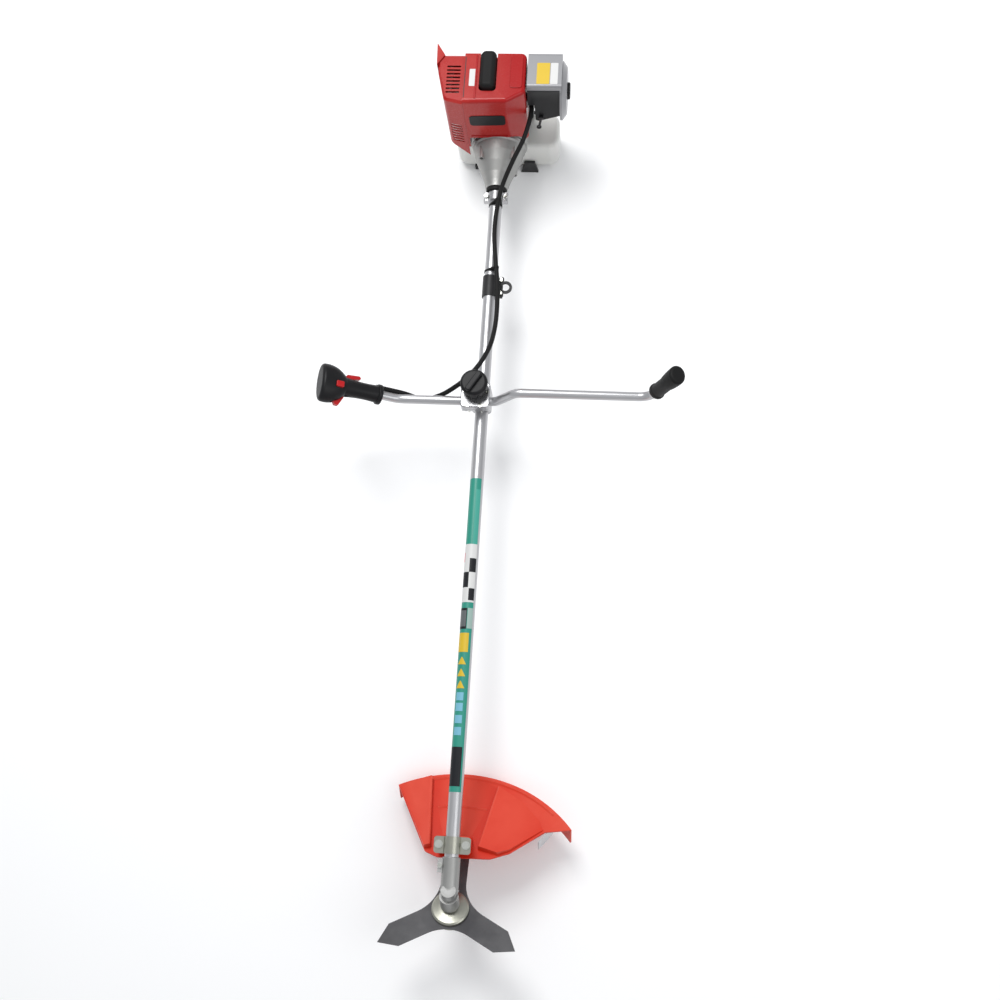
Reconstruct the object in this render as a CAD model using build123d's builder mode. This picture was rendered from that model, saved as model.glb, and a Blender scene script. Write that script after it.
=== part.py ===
from build123d import *
from math import atan2, cos, degrees, pi, radians, sin, tan
import os

os.makedirs("parts", exist_ok=True)

# Straight-shaft brush cutter with a two-handed bar. It is drawn in the tube's own frame:
# the tube lies along Y with its mouth in the gear case at Y 0, the engine is at +Y, the
# blade at -Y and up is +Z. The last lines lay the tool down on its guard and engine stand.

# ---------------------------------------------------------------- driving dimensions
TUBE_R = 14.0            # main tube, 28 x 1.5
TUBE_WALL = 1.5
TUBE_IN_HEAD = 36.0      # how far the tube reaches into the gear case
TUBE_END = 1452.0        # the tube's upper end, inside the clutch housing
SHAFT_R = 4.0            # drive shaft in the tube
RUNNING = 0.05           # radial clearance of a running fit
SKIN_GAP = 0.3           # clearance between pieces that only lie beside each other

HEAD_BEND = 30.0         # tilt of the output shaft from square to the tube
CROSS_Y = -73.0          # where the output shaft's axis crosses the tube's axis
BLADE_DROP = 50.0        # from that crossing to the middle of the blade
BARREL_R = 17.5
NECK_R = 18.5
BEARING_R = 13.0
OUTPUT_R = 6.0           # output shaft through the bearings
THREAD_R = 5.0           # its M10 end
PINION_TEETH = 12
GEAR_TEETH = 16
GEAR_PITCH_R = 13.0

BLADE_R = 152.5          # 305 mm three-tooth blade
BLADE_SHOULDER = 119.0
BLADE_LEG = 50.0
BLADE_T = 2.0
ARBOR_R = 12.7           # 25.4 mm hole
CUP_R = 36.5

GUARD_R = 280.0
GUARD_FROM = -28.6       # angles about the output axis, from the tube's line to the right
GUARD_TO = 54.3
GUARD_LEVEL = 42.0       # underside of the guard's floor above the blade
GUARD_T = 3.0

BAR_R = 9.5              # handlebar, 19 x 2
BAR_Y = 924.0
BAR_Z = 40.0
HANGER_Y = 1206.0

CRANK_Y = 1620.0         # middle of the cylinder
BORE_R = 22.0            # 44 mm bore
STROKE = 34.0
STAND_Z = -130.0         # the lowest edge of the engine stand

# ---------------------------------------------------------------- frames and helpers
output_dir = Vector(0, sin(radians(HEAD_BEND)), cos(radians(HEAD_BEND)))
crossing = Vector(0, CROSS_Y, 0)
blade_centre = crossing - output_dir * BLADE_DROP
output_axis = Axis(blade_centre, output_dir)
rearward = Vector(0, cos(radians(HEAD_BEND)), -sin(radians(HEAD_BEND)))
head_axis = Axis(blade_centre, output_dir)
head_section = Plane(origin=blade_centre, x_dir=(1, 0, 0), z_dir=-rearward)

finished = {}


def station(y):
    """Plane square to the tube: local X is to the side, local Y is up, a minus extrusion goes to the engine."""
    return Plane.XZ.offset(-y)


def head_level(height):
    """Plane parallel to the blade, at a height above it; local Y points back along the tube."""
    return Plane(origin=blade_centre + output_dir * height, x_dir=(1, 0, 0), z_dir=output_dir)


def level(z):
    """Plane parallel to the tube and the ground plane of the engine."""
    return Plane.XY.offset(z)


def keep(piece, name):
    """Label a finished piece and put it with the others."""
    piece.part.label = name
    finished[name] = piece.part


# ---------------------------------------------------------------- gear head
with BuildPart() as gear_case:
    with BuildSketch(station(0)):
        Circle(BARREL_R)
    extrude(amount=62)
    with Locations(crossing + Vector(0, 11, 0)):
        Sphere(BARREL_R)
    with BuildSketch(head_level(22)):
        Circle(NECK_R)
    extrude(amount=31)
    with BuildSketch(head_level(50)):
        Circle(14.4)
    extrude(amount=22)
    fillet(gear_case.edges().group_by(Axis(crossing, output_dir))[-1], 1.2)
    with BuildSketch(station(-4)):
        with Locations((-BARREL_R - 1, 0)):
            Rectangle(13, 15)
    extrude(amount=26)
    with BuildSketch(station(-60)):
        Circle(BARREL_R + 1.2)
    extrude(amount=3)
    with BuildSketch(station(0)):
        Circle(TUBE_R + 0.02)
    extrude(amount=TUBE_IN_HEAD + 1, mode=Mode.SUBTRACT)
    with BuildSketch(station(-TUBE_IN_HEAD)):
        Circle(BEARING_R)
    extrude(amount=21, mode=Mode.SUBTRACT)
    with BuildSketch(station(-56)):
        Circle(11.6)
    extrude(amount=14, mode=Mode.SUBTRACT)
    with BuildSketch(head_level(22)):
        Circle(14.5)
    extrude(amount=28.5, mode=Mode.SUBTRACT)
    with BuildSketch(station(0)):
        with Locations((-BARREL_R, 0)):
            Rectangle(20, 2)
    extrude(amount=32, mode=Mode.SUBTRACT)
    with BuildSketch(level(-8)):
        with Locations((-BARREL_R - 3.4, -17)):
            Circle(2.6)
    extrude(amount=16, mode=Mode.SUBTRACT)
keep(gear_case, "gear_case")

# Bevel pair: the pinion's cone and the gear's cone share their apex at the crossing.
shaft_angle = radians(90 + HEAD_BEND)
gear_lean = atan2(sin(shaft_angle), PINION_TEETH / GEAR_TEETH + cos(shaft_angle))
pinion_lean = shaft_angle - gear_lean
CONE_OUT = GEAR_PITCH_R / sin(gear_lean)
CONE_IN = 8.0
ADDENDUM = 1.2
DEDENDUM = 1.7


def bevel_blank(lean, back, bore):
    """Half profile of a bevel gear's body: root cone, back face and bore, as radius and distance."""
    rim = (CONE_OUT * sin(lean) - DEDENDUM * cos(lean), CONE_OUT * cos(lean) + DEDENDUM * sin(lean))
    small = CONE_IN / CONE_OUT
    return [
        (bore, CONE_IN * cos(lean) + DEDENDUM * small * sin(lean)),
        (rim[0] * small, rim[1] * small),
        rim,
        (rim[0], back),
        (bore, back),
    ]


def bevel_tooth_plane(axle, out, lean, reach):
    """Plane across a bevel tooth at a distance along the pitch cone, local Y away from the gear's body."""
    along = axle * cos(lean) + out * sin(lean)
    return Plane(origin=crossing + along * reach, x_dir=out.cross(axle), z_dir=along)


def bevel_teeth(axle, first, lean, count, offset):
    """Add the teeth of a bevel gear, tapering to its apex, to the part being built."""
    for k in range(count):
        out = first.rotate(Axis((0, 0, 0), axle), 360 * (k + offset) / count)
        sections = []
        for reach in (CONE_OUT - 0.1, CONE_IN + 0.1):
            size = reach / CONE_OUT
            foot = -DEDENDUM * size - 0.2
            tip = ADDENDUM * size
            plane = bevel_tooth_plane(axle, out, lean, reach)
            corners = [(-1.5 * size, foot), (1.5 * size, foot), (0.55 * size, tip), (-0.55 * size, tip)]
            sections.append(Wire.make_polygon([plane.from_local_coords((x, y, 0)) for x, y in corners]))
        add(Solid.make_loft(sections, ruled=True))


with BuildPart() as bevel_pinion:
    with BuildSketch(Plane(origin=crossing, x_dir=(1, 0, 0), z_dir=(0, 0, 1))):
        Polygon(*bevel_blank(pinion_lean, 13.5, 0), align=None)
    revolve(axis=Axis(crossing, (0, 1, 0)))
    with BuildSketch(station(CROSS_Y + 13.5)):
        Circle(6)
    extrude(amount=-22)
    bevel_teeth(Vector(0, 1, 0), Vector(0, 0, -1), pinion_lean, PINION_TEETH, 0)
    with BuildSketch(station(CROSS_Y + 35.5)):
        Circle(SHAFT_R + 0.01)
    extrude(amount=14, mode=Mode.SUBTRACT)
keep(bevel_pinion, "bevel_pinion")

with BuildPart() as bevel_gear:
    with BuildSketch(Plane(origin=crossing, x_dir=(1, 0, 0), z_dir=-rearward)):
        Polygon(*[(r, -d) for r, d in bevel_blank(gear_lean, 9.5, OUTPUT_R + 0.01)], align=None)
    revolve(axis=Axis(crossing, output_dir))
    bevel_teeth(-output_dir, rearward, gear_lean, GEAR_TEETH, 0.5)
    with BuildSketch(head_level(BLADE_DROP - 9.5)):
        Circle(9)
        Circle(OUTPUT_R + 0.01, mode=Mode.SUBTRACT)
    extrude(amount=-1.5)
keep(bevel_gear, "bevel_gear")

with BuildPart() as gear_bearings:
    for near in (-37.1, -46.3):
        with BuildSketch(station(near)):
            Circle(BEARING_R - 0.02)
            Circle(6 + RUNNING, mode=Mode.SUBTRACT)
        extrude(amount=9)
    for low in (22.1, 30.5):
        with BuildSketch(head_level(low)):
            Circle(14.48)
            Circle(OUTPUT_R + RUNNING, mode=Mode.SUBTRACT)
        extrude(amount=8)
keep(gear_bearings, "gear_bearings")

with BuildPart() as output_shaft:
    with BuildSketch(head_level(4.1)):
        Circle(OUTPUT_R)
    extrude(amount=43)
    with BuildSketch(head_level(-17)):
        Circle(THREAD_R)
    extrude(amount=21.1)
    chamfer(output_shaft.edges().group_by(Axis(blade_centre, output_dir))[0], 0.8)
keep(output_shaft, "output_shaft")

# ---------------------------------------------------------------- blade and its fixings
with BuildPart() as blade_holder:
    with BuildSketch(head_section):
        Polygon(
            (OUTPUT_R + 0.01, 20.5), (12.5, 20.5), (13.5, 14), (22, 12.2), (CUP_R - 3, 9.5), (CUP_R, 7),
            (CUP_R, 2), (CUP_R - 2.2, 2), (CUP_R - 2.6, 5), (26, 8), (20, 8), (20, 1.05), (ARBOR_R - 0.05, 1.05),
            (ARBOR_R - 0.05, -0.6), (THREAD_R + 0.05, -0.6), (THREAD_R + 0.05, 4.05), (OUTPUT_R + 0.01, 4.05),
            align=None,
        )
    revolve(axis=output_axis)
keep(blade_holder, "blade_holder")

with BuildPart() as blade:
    with BuildSketch(head_level(-BLADE_T / 2)) as blade_outline:
        with PolarLocations(0, 3, start_angle=90):
            with Locations((BLADE_SHOULDER / 2, 0)):
                Rectangle(BLADE_SHOULDER, BLADE_LEG)
            Polygon(
                (BLADE_SHOULDER - 1, -BLADE_LEG / 2), (BLADE_SHOULDER, -BLADE_LEG / 2), (BLADE_R, 0),
                (BLADE_SHOULDER, BLADE_LEG / 2), (BLADE_SHOULDER - 1, BLADE_LEG / 2),
                align=None,
            )
        crotches = blade_outline.vertices().sort_by_distance((0, 0, 0))[:3]
        fillet(crotches, 78)
        Circle(ARBOR_R, mode=Mode.SUBTRACT)
    extrude(amount=BLADE_T)
keep(blade, "blade")

with BuildPart() as stabiliser_cup:
    with BuildSketch(head_section):
        Polygon(
            (THREAD_R + 0.05, -1.05), (21, -1.05), (23, -3), (29, -8), (34, -14.5), (34, -18), (31.5, -18),
            (31.5, -15.5), (27, -10), (21, -4.6), (THREAD_R + 0.05, -4.6),
            align=None,
        )
    revolve(axis=output_axis)
keep(stabiliser_cup, "stabiliser_cup")

with BuildPart() as blade_nut:
    with BuildSketch(head_level(-4.65)):
        Circle(11)
        Circle(THREAD_R + 0.02, mode=Mode.SUBTRACT)
    extrude(amount=-2)
    with BuildSketch(head_level(-6.65)):
        RegularPolygon(9.8, 6)
        Circle(THREAD_R + 0.02, mode=Mode.SUBTRACT)
    extrude(amount=-8)
keep(blade_nut, "blade_nut")

# ---------------------------------------------------------------- guard
SADDLE_Y = 23.0          # middle of the clamp that holds the guard to the tube
SADDLE_W = 66.0
SADDLE_L = 34.0
GUARD_BOLT_X = 26.5

GUARD_TOP = GUARD_LEVEL + GUARD_T
WING_RISE = 16.0         # the wings stand this far above the channel, and fall away to the sides
RIGHT_WING = [(45, 106), (84, 97), (107, 107), (170, 158), (163, 176), (128, 214), (73, 247)]
LEFT_WING = [(-49, 106), (-62, 103), (-128, 240), (-112, 251), (-64, 264)]


def slope(ridge_a, ridge_b, far, far_rise):
    """Plane over a wing's plan: full height along its ridge, falling to a far corner."""
    corners = [(*ridge_a, WING_RISE), (*ridge_b, WING_RISE), (*far, far_rise)]
    a, b, c = (blade_centre + Vector(x, 0, 0) + rearward * y + output_dir * (GUARD_TOP + h) for x, y, h in corners)
    normal = (b - a).cross(c - a)
    if normal.dot(output_dir) < 0:
        normal = -normal
    return Plane(origin=a, z_dir=normal)


with BuildPart() as right_wing:
    with BuildSketch(head_level(GUARD_LEVEL)):
        Polygon(*RIGHT_WING, align=None)
    extrude(amount=40)
    split(bisect_by=slope(RIGHT_WING[0], RIGHT_WING[-1], RIGHT_WING[3], 2), keep=Keep.BOTTOM)
    fillet(right_wing.edges().filter_by(lambda e: e.center().X < 62 and e.length > 100).group_by(head_axis)[-1], 4)
    offset(amount=-GUARD_T, openings=right_wing.faces().sort_by(head_axis)[0])

with BuildPart() as left_wing:
    with BuildSketch(head_level(GUARD_LEVEL)):
        Polygon(*LEFT_WING, align=None)
    extrude(amount=40)
    split(bisect_by=slope(LEFT_WING[0], LEFT_WING[-1], LEFT_WING[2], 2), keep=Keep.BOTTOM)
    fillet(left_wing.edges().filter_by(lambda e: e.center().X > -60 and e.length > 100).group_by(head_axis)[-1], 4)
    offset(amount=-GUARD_T, openings=left_wing.faces().sort_by(head_axis)[0])

with BuildPart() as guard:
    with BuildSketch(level(-SKIN_GAP)):
        with Locations((0, SADDLE_Y)):
            RectangleRounded(SADDLE_W, SADDLE_L, 5)
    extrude(amount=-80)
    with BuildSketch(level(-24)):
        with Locations((0, SADDLE_Y)):
            Rectangle(SADDLE_W - 8, SADDLE_L - 8)
    extrude(amount=-60, mode=Mode.SUBTRACT)
    split(bisect_by=head_level(GUARD_LEVEL), keep=Keep.TOP)
    with BuildSketch(head_level(GUARD_LEVEL)) as guard_plan:
        with BuildLine():
            rim = CenterArc((0, 0), GUARD_R, 90 - GUARD_TO, GUARD_TO - GUARD_FROM)
            Polyline(rim @ 1, (-60, 97), (-34, 86), (70, 88), (108, 103), (175, 155), rim @ 0)
        make_face()
        fillet(guard_plan.vertices().filter_by_position(Axis.Y, 80, 110), 12)
    extrude(amount=GUARD_T)
    with BuildSketch(head_level(0)):
        with BuildLine():
            skirt_out = CenterArc((0, 0), GUARD_R, 90 - GUARD_TO, GUARD_TO - GUARD_FROM)
            skirt_in = CenterArc((0, 0), GUARD_R - GUARD_T, 90 - GUARD_TO, GUARD_TO - GUARD_FROM)
            Line(skirt_out @ 0, skirt_in @ 0)
            Line(skirt_out @ 1, skirt_in @ 1)
        make_face()
    extrude(amount=GUARD_LEVEL)
    with BuildSketch(head_level(GUARD_LEVEL - 1)):
        Polygon(*RIGHT_WING, align=None)
        Polygon(*LEFT_WING, align=None)
        offset(amount=-GUARD_T, mode=Mode.REPLACE)
    extrude(amount=GUARD_T + 2, mode=Mode.SUBTRACT)
    add(right_wing.part)
    add(left_wing.part)
    with BuildSketch(station(SADDLE_Y - SADDLE_L)):
        Circle(TUBE_R + 0.02)
    extrude(amount=-2 * SADDLE_L, mode=Mode.SUBTRACT)
    with BuildSketch(level(0)):
        with Locations((-GUARD_BOLT_X, SADDLE_Y), (GUARD_BOLT_X, SADDLE_Y)):
            Circle(3.02)
    extrude(amount=-22, mode=Mode.SUBTRACT)
keep(guard, "guard")

with BuildPart() as guard_bracket:
    with BuildSketch(station(SADDLE_Y - SADDLE_L / 2)):
        Circle(TUBE_R + 3)
        with Locations((0, 1.5)):
            Rectangle(SADDLE_W + 6, 3)
        with Locations((0, -30)):
            Rectangle(100, 60, mode=Mode.SUBTRACT)
        Circle(TUBE_R + 0.02, mode=Mode.SUBTRACT)
    extrude(amount=-(SADDLE_L - 2))
    fillet(guard_bracket.edges().filter_by(Axis.Z).group_by(SortBy.LENGTH)[0], 6)
    with BuildSketch(level(0)):
        with Locations((-GUARD_BOLT_X, SADDLE_Y), (GUARD_BOLT_X, SADDLE_Y)):
            Circle(3.2)
    extrude(amount=4, mode=Mode.SUBTRACT)
keep(guard_bracket, "guard_bracket")

with BuildPart() as guard_bolts:
    for side in (-GUARD_BOLT_X, GUARD_BOLT_X):
        with BuildSketch(level(-20)):
            with Locations((side, SADDLE_Y)):
                Circle(3)
        extrude(amount=23)
        with BuildSketch(level(3)):
            with Locations((side, SADDLE_Y)):
                Circle(8)
        extrude(amount=1.2)
        with BuildSketch(level(4.2)):
            with Locations((side, SADDLE_Y)):
                RegularPolygon(6.4, 6)
        extrude(amount=4.5)
keep(guard_bolts, "guard_bolts")

with BuildPart() as line_knife:
    with BuildSketch(head_level(GUARD_LEVEL - 26)):
        with Locations(Location((176, 152), 55)):
            Rectangle(46, 2)
    extrude(amount=26 - 0.02)
keep(line_knife, "line_knife")

# ---------------------------------------------------------------- tube and drive shaft
with BuildPart() as main_tube:
    with BuildSketch(station(-TUBE_IN_HEAD)):
        Circle(TUBE_R)
        Circle(TUBE_R - TUBE_WALL, mode=Mode.SUBTRACT)
    extrude(amount=-(TUBE_END + TUBE_IN_HEAD))
keep(main_tube, "main_tube")

DECAL_FROM = 122.0
DECAL_TO = 763.0
DECAL_TURN = -18.0       # the decal is wrapped a little to the left of straight up
DECAL_HALF = 67.0
with BuildPart() as tube_decal:
    with BuildSketch(station(DECAL_FROM)):
        Circle(TUBE_R + 0.25)
        with BuildLine():
            near = PolarLine((0, 0), 60, 90 - DECAL_TURN - DECAL_HALF)
            far = PolarLine((0, 0), 60, 90 - DECAL_TURN + DECAL_HALF)
            ThreePointArc(near @ 1, (60 * sin(radians(DECAL_TURN)), 60 * cos(radians(DECAL_TURN))), far @ 1)
        make_face(mode=Mode.INTERSECT)
        Circle(TUBE_R, mode=Mode.SUBTRACT)
    extrude(amount=-(DECAL_TO - DECAL_FROM))
keep(tube_decal, "tube_decal")

with BuildPart() as drive_shaft:
    with BuildSketch(station(CROSS_Y + 22)):
        Circle(SHAFT_R)
    extrude(amount=-(1512 - CROSS_Y - 22))
keep(drive_shaft, "drive_shaft")

with BuildPart() as shaft_bushes:
    for middle in (180, 480, 780, 1080, 1380):
        with BuildSketch(station(middle - 15)):
            Circle(TUBE_R - TUBE_WALL)
            Circle(SHAFT_R + RUNNING, mode=Mode.SUBTRACT)
        extrude(amount=-30)
keep(shaft_bushes, "shaft_bushes")

with BuildPart() as hanger_band:
    with BuildSketch(station(HANGER_Y - 24)):
        Circle(TUBE_R + 3)
        with Locations((TUBE_R + 6, -2.2)):
            Rectangle(16, 3.6)
        Circle(TUBE_R + 0.02, mode=Mode.SUBTRACT)
    extrude(amount=-48)
    with BuildSketch(level(-6)):
        with Locations((TUBE_R + 9, HANGER_Y - 16), (TUBE_R + 9, HANGER_Y + 16)):
            Circle(2.6)
    extrude(amount=8, mode=Mode.SUBTRACT)
keep(hanger_band, "hanger_band")

EYE_X = 34.0             # the harness hook's eye, beside the tube
EYE_R = 8.5
with BuildPart() as hanger_eye:
    with BuildSketch(level(-SKIN_GAP)):
        with Locations((EYE_X - 10, HANGER_Y)):
            RectangleRounded(12, 48, 4)
        with Locations((EYE_X, HANGER_Y)):
            Circle(EYE_R + 6)
            Circle(EYE_R, mode=Mode.SUBTRACT)
        with Locations((TUBE_R + 9, HANGER_Y - 16), (TUBE_R + 9, HANGER_Y + 16)):
            Circle(2.6, mode=Mode.SUBTRACT)
    extrude(amount=4)
    eye_edges = hanger_eye.edges().filter_by(lambda e: e.geom_type == GeomType.CIRCLE and abs(e.radius - EYE_R) < 0.1)
    chamfer(eye_edges, 0.6)
keep(hanger_eye, "hanger_eye")

# ---------------------------------------------------------------- handlebar and its clamp
BEND_L = Vector(-175, BAR_Y, BAR_Z)          # where the bar turns up to the throttle grip
BEND_R1 = Vector(32, BAR_Y, BAR_Z)           # the S-bend beside the clamp
BEND_R2 = Vector(78, BAR_Y, 95)
BEND_R3 = Vector(352, BAR_Y, 95)             # where it turns up to the other grip
left_dir = Vector(-cos(radians(30)), 0, sin(radians(30)))
right_dir = Vector(0.412, 0.05, 0.91).normalized()
BAR_END_L = 120.0        # lengths of the two raised ends
BAR_END_R = 112.0


def left_station(along):
    """Plane square to the bar's left end: local X points to the blade, local Y up."""
    return Plane(origin=BEND_L + left_dir * along, x_dir=(0, -1, 0), z_dir=left_dir)


def right_station(along):
    """Plane square to the bar's right end."""
    return Plane(origin=BEND_R3 + right_dir * along, x_dir=(0, -1, 0), z_dir=right_dir)


def left_point(across, up, along):
    """A point given in the throttle grip's own directions."""
    return left_station(along).from_local_coords((across, up, 0))


with BuildPart() as handlebar:
    with BuildLine() as bar_line:
        FilletPolyline(
            BEND_L + left_dir * BAR_END_L, BEND_L, BEND_R1, BEND_R2, BEND_R3, BEND_R3 + right_dir * BAR_END_R,
            radius=[50, 22, 30, 36],
        )
    with BuildSketch(left_station(BAR_END_L)):
        Circle(BAR_R)
    sweep(path=bar_line.line)
    with BuildSketch(left_station(BAR_END_L)):
        Circle(BAR_R - 2)
    sweep(path=bar_line.line, mode=Mode.SUBTRACT)
keep(handlebar, "handlebar")

CLAMP_X = -10.0          # the clamp sits a little to the left of the tube
CLAMP_W = 62.0
CLAMP_FROM = 905.0
CLAMP_TO = 962.0
KNOB_AT = (-11.0, 948.0)
CAP_TOP = 55.0
CLAMP_BOLTS = [(CLAMP_X - 15, 910.5), (CLAMP_X + 11, 910.5), (CLAMP_X - 22, 940), (CLAMP_X + 24, 940)]

with BuildPart() as handlebar_bracket:
    with BuildSketch(station(CLAMP_FROM + 11)):
        Circle(TUBE_R + 6)
    extrude(amount=-(CLAMP_TO - CLAMP_FROM - 15))
    with BuildSketch(level(0)):
        with Locations((CLAMP_X, (CLAMP_FROM + CLAMP_TO) / 2)):
            RectangleRounded(CLAMP_W, CLAMP_TO - CLAMP_FROM, 9)
    extrude(amount=BAR_Z - SKIN_GAP)
    with BuildSketch(station(CLAMP_FROM - 1)):
        Circle(TUBE_R + 0.02)
        with Locations((0, -20)):
            Rectangle(2.4, 30)
    extrude(amount=-(CLAMP_TO - CLAMP_FROM + 2), mode=Mode.SUBTRACT)
    with BuildSketch(Plane.YZ.offset(CLAMP_X - CLAMP_W)):
        with Locations((BAR_Y, BAR_Z)):
            Circle(BAR_R + 0.02)
    extrude(amount=2 * CLAMP_W, mode=Mode.SUBTRACT)
    with BuildSketch(level(12)):
        with Locations(*CLAMP_BOLTS):
            Circle(2.55)
        with Locations(KNOB_AT):
            Circle(5.05)
    extrude(amount=40, mode=Mode.SUBTRACT)
    with BuildSketch(Plane.YZ.offset(CLAMP_X - CLAMP_W)):
        Polygon((CLAMP_FROM - 1, 34), (CLAMP_FROM, 34), (CLAMP_FROM + 11, -1), (CLAMP_FROM - 1, -1), align=None)
    extrude(amount=2 * CLAMP_W, mode=Mode.SUBTRACT)
keep(handlebar_bracket, "handlebar_bracket")

with BuildPart() as handlebar_cap:
    with BuildSketch(level(BAR_Z + SKIN_GAP)):
        with Locations((CLAMP_X, (CLAMP_FROM + CLAMP_TO) / 2)):
            RectangleRounded(CLAMP_W, CLAMP_TO - CLAMP_FROM, 9)
    extrude(amount=CAP_TOP - BAR_Z - SKIN_GAP)
    fillet(handlebar_cap.edges().group_by(Axis.Z)[-1], 3)
    with BuildSketch(Plane.YZ.offset(CLAMP_X - CLAMP_W)):
        with Locations((BAR_Y, BAR_Z)):
            Circle(BAR_R + 0.02)
    extrude(amount=2 * CLAMP_W, mode=Mode.SUBTRACT)
    with BuildSketch(level(BAR_Z)):
        with Locations(*CLAMP_BOLTS):
            Circle(2.55)
        with Locations(KNOB_AT):
            Circle(5.05)
    extrude(amount=40, mode=Mode.SUBTRACT)
    with BuildSketch(level(CAP_TOP - 6)):
        with Locations(*CLAMP_BOLTS):
            Circle(4.7)
    extrude(amount=10, mode=Mode.SUBTRACT)
keep(handlebar_cap, "handlebar_cap")

KNOB_R = 29.0
KNOB_LOW = 72.0
KNOB_HIGH = 92.0
with BuildPart() as clamp_knob:
    with BuildSketch(level(KNOB_LOW)):
        with Locations(KNOB_AT):
            Circle(KNOB_R)
    extrude(amount=KNOB_HIGH - KNOB_LOW)
    fillet(clamp_knob.edges().group_by(Axis.Z)[-1], 7)
    fillet(clamp_knob.edges().group_by(Axis.Z)[0], 2)
    with BuildSketch(level(KNOB_HIGH - 4)):
        with Locations(Location((*KNOB_AT, 0), 58)):
            SlotOverall(50, 13)
    extrude(amount=12)
    fillet(clamp_knob.edges().group_by(Axis.Z)[-1], 3)
    with BuildSketch(level(CAP_TOP + SKIN_GAP)):
        with Locations(KNOB_AT):
            Circle(10)
    extrude(amount=KNOB_LOW - CAP_TOP)
    with BuildSketch(level(14)):
        with Locations(KNOB_AT):
            Circle(4.98)
    extrude(amount=KNOB_LOW - 14)
    with BuildSketch(level(KNOB_LOW - 1)):
        with Locations(KNOB_AT):
            with PolarLocations(KNOB_R + 2.5, 10):
                Circle(5)
    extrude(amount=14, mode=Mode.SUBTRACT)
keep(clamp_knob, "clamp_knob")

# ---------------------------------------------------------------- throttle grip
GRIP_R = 19.0
GRIP_FROM = 40.0
HEAD_FROM = 120.0
HEAD_TO = 174.0
CABLE_R = 5.0
TRIGGER_PIVOT = (14.0, 0.0, 140.0)           # across, up, along
LOCK_PIVOT = (-14.0, 0.0, 117.0)
SWITCH_AT = (5.0, 137.0)
grip_side = Plane(origin=BEND_L, x_dir=left_dir, z_dir=(sin(radians(30)), 0, cos(radians(30))))


def grip_profile(width, *points):
    """A plate in the grip's middle plane from points given along and across, with its thickness set evenly."""
    outline = Wire.make_polygon([grip_side.from_local_coords((s, x, -width / 2)) for s, x in points])
    return Solid.extrude(Face(outline), grip_side.z_dir * width)


with BuildPart() as throttle_grip:
    with BuildSketch(left_station(GRIP_FROM)):
        Circle(GRIP_R + 2.5)
    extrude(amount=9)
    fillet(throttle_grip.edges().filter_by(GeomType.CIRCLE), 2)
    with BuildSketch(left_station(GRIP_FROM + 6)):
        Ellipse(GRIP_R, GRIP_R - 1)
    with BuildSketch(left_station(80)):
        Ellipse(GRIP_R - 1.5, GRIP_R - 2.5)
    with BuildSketch(left_station(HEAD_FROM)):
        Ellipse(GRIP_R + 2, GRIP_R + 1)
    loft()
    with BuildSketch(left_station(HEAD_FROM)):
        Ellipse(GRIP_R + 2, GRIP_R + 1)
    with BuildSketch(left_station(140)):
        Ellipse(37, 25)
    with BuildSketch(left_station(HEAD_TO)):
        Ellipse(40, 26)
    loft()
    fillet(throttle_grip.faces().sort_by(Axis(BEND_L, left_dir))[-1].edges(), 8)
    with BuildSketch(left_station(0)):
        Circle(BAR_R + 0.02)
    extrude(amount=BAR_END_L + 1, mode=Mode.SUBTRACT)
    with BuildSketch(left_station(0)):
        with Locations((-15.6, 0)):
            Circle(CABLE_R + 0.02)
    extrude(amount=GRIP_FROM + 14, mode=Mode.SUBTRACT)
    add(grip_profile(10.6, (111, 9.6), (148, 8), (148, 60), (111, 60)), mode=Mode.SUBTRACT)
    add(grip_profile(8.6, (84, -9.6), (124, -8), (124, -60), (84, -60)), mode=Mode.SUBTRACT)
    for pivot, reach in ((TRIGGER_PIVOT, 9), (LOCK_PIVOT, 8)):
        with BuildSketch(Plane(origin=left_point(*pivot), z_dir=grip_side.z_dir)):
            Circle(2.05)
        extrude(amount=reach, both=True, mode=Mode.SUBTRACT)
    with BuildSketch(grip_side.offset(16)):
        with Locations((SWITCH_AT[1], SWITCH_AT[0])):
            Rectangle(17, 13)
    extrude(amount=20, mode=Mode.SUBTRACT)
keep(throttle_grip, "throttle_grip")

with BuildPart() as throttle_trigger:
    add(grip_profile(10, (128, 16), (136, 9.6), (145, 12), (146.5, 27), (139, 43), (131, 43.5), (121, 25)))
    fillet(throttle_trigger.edges().filter_by(Axis((0, 0, 0), grip_side.z_dir)), 1.5)
    with BuildSketch(Plane(origin=left_point(*TRIGGER_PIVOT), z_dir=grip_side.z_dir)):
        Circle(2)
    extrude(amount=9, both=True)
keep(throttle_trigger, "throttle_trigger")

with BuildPart() as lock_lever:
    add(grip_profile(8, (122, -11), (122, -21), (116, -27), (91, -29), (87, -26), (88, -22), (110, -18), (113, -11)))
    fillet(lock_lever.edges().filter_by(Axis((0, 0, 0), grip_side.z_dir)), 1.2)
    with BuildSketch(Plane(origin=left_point(*LOCK_PIVOT), z_dir=grip_side.z_dir)):
        Circle(2)
    extrude(amount=8, both=True)
keep(lock_lever, "lock_lever")

with BuildPart() as stop_switch:
    with BuildSketch(grip_side.offset(19)):
        with Locations((SWITCH_AT[1], SWITCH_AT[0])):
            RectangleRounded(16.4, 12.4, 2)
    extrude(amount=10)
    fillet(stop_switch.faces().sort_by(Axis(BEND_L, grip_side.z_dir))[-1].edges(), 1.5)
keep(stop_switch, "stop_switch")

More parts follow.
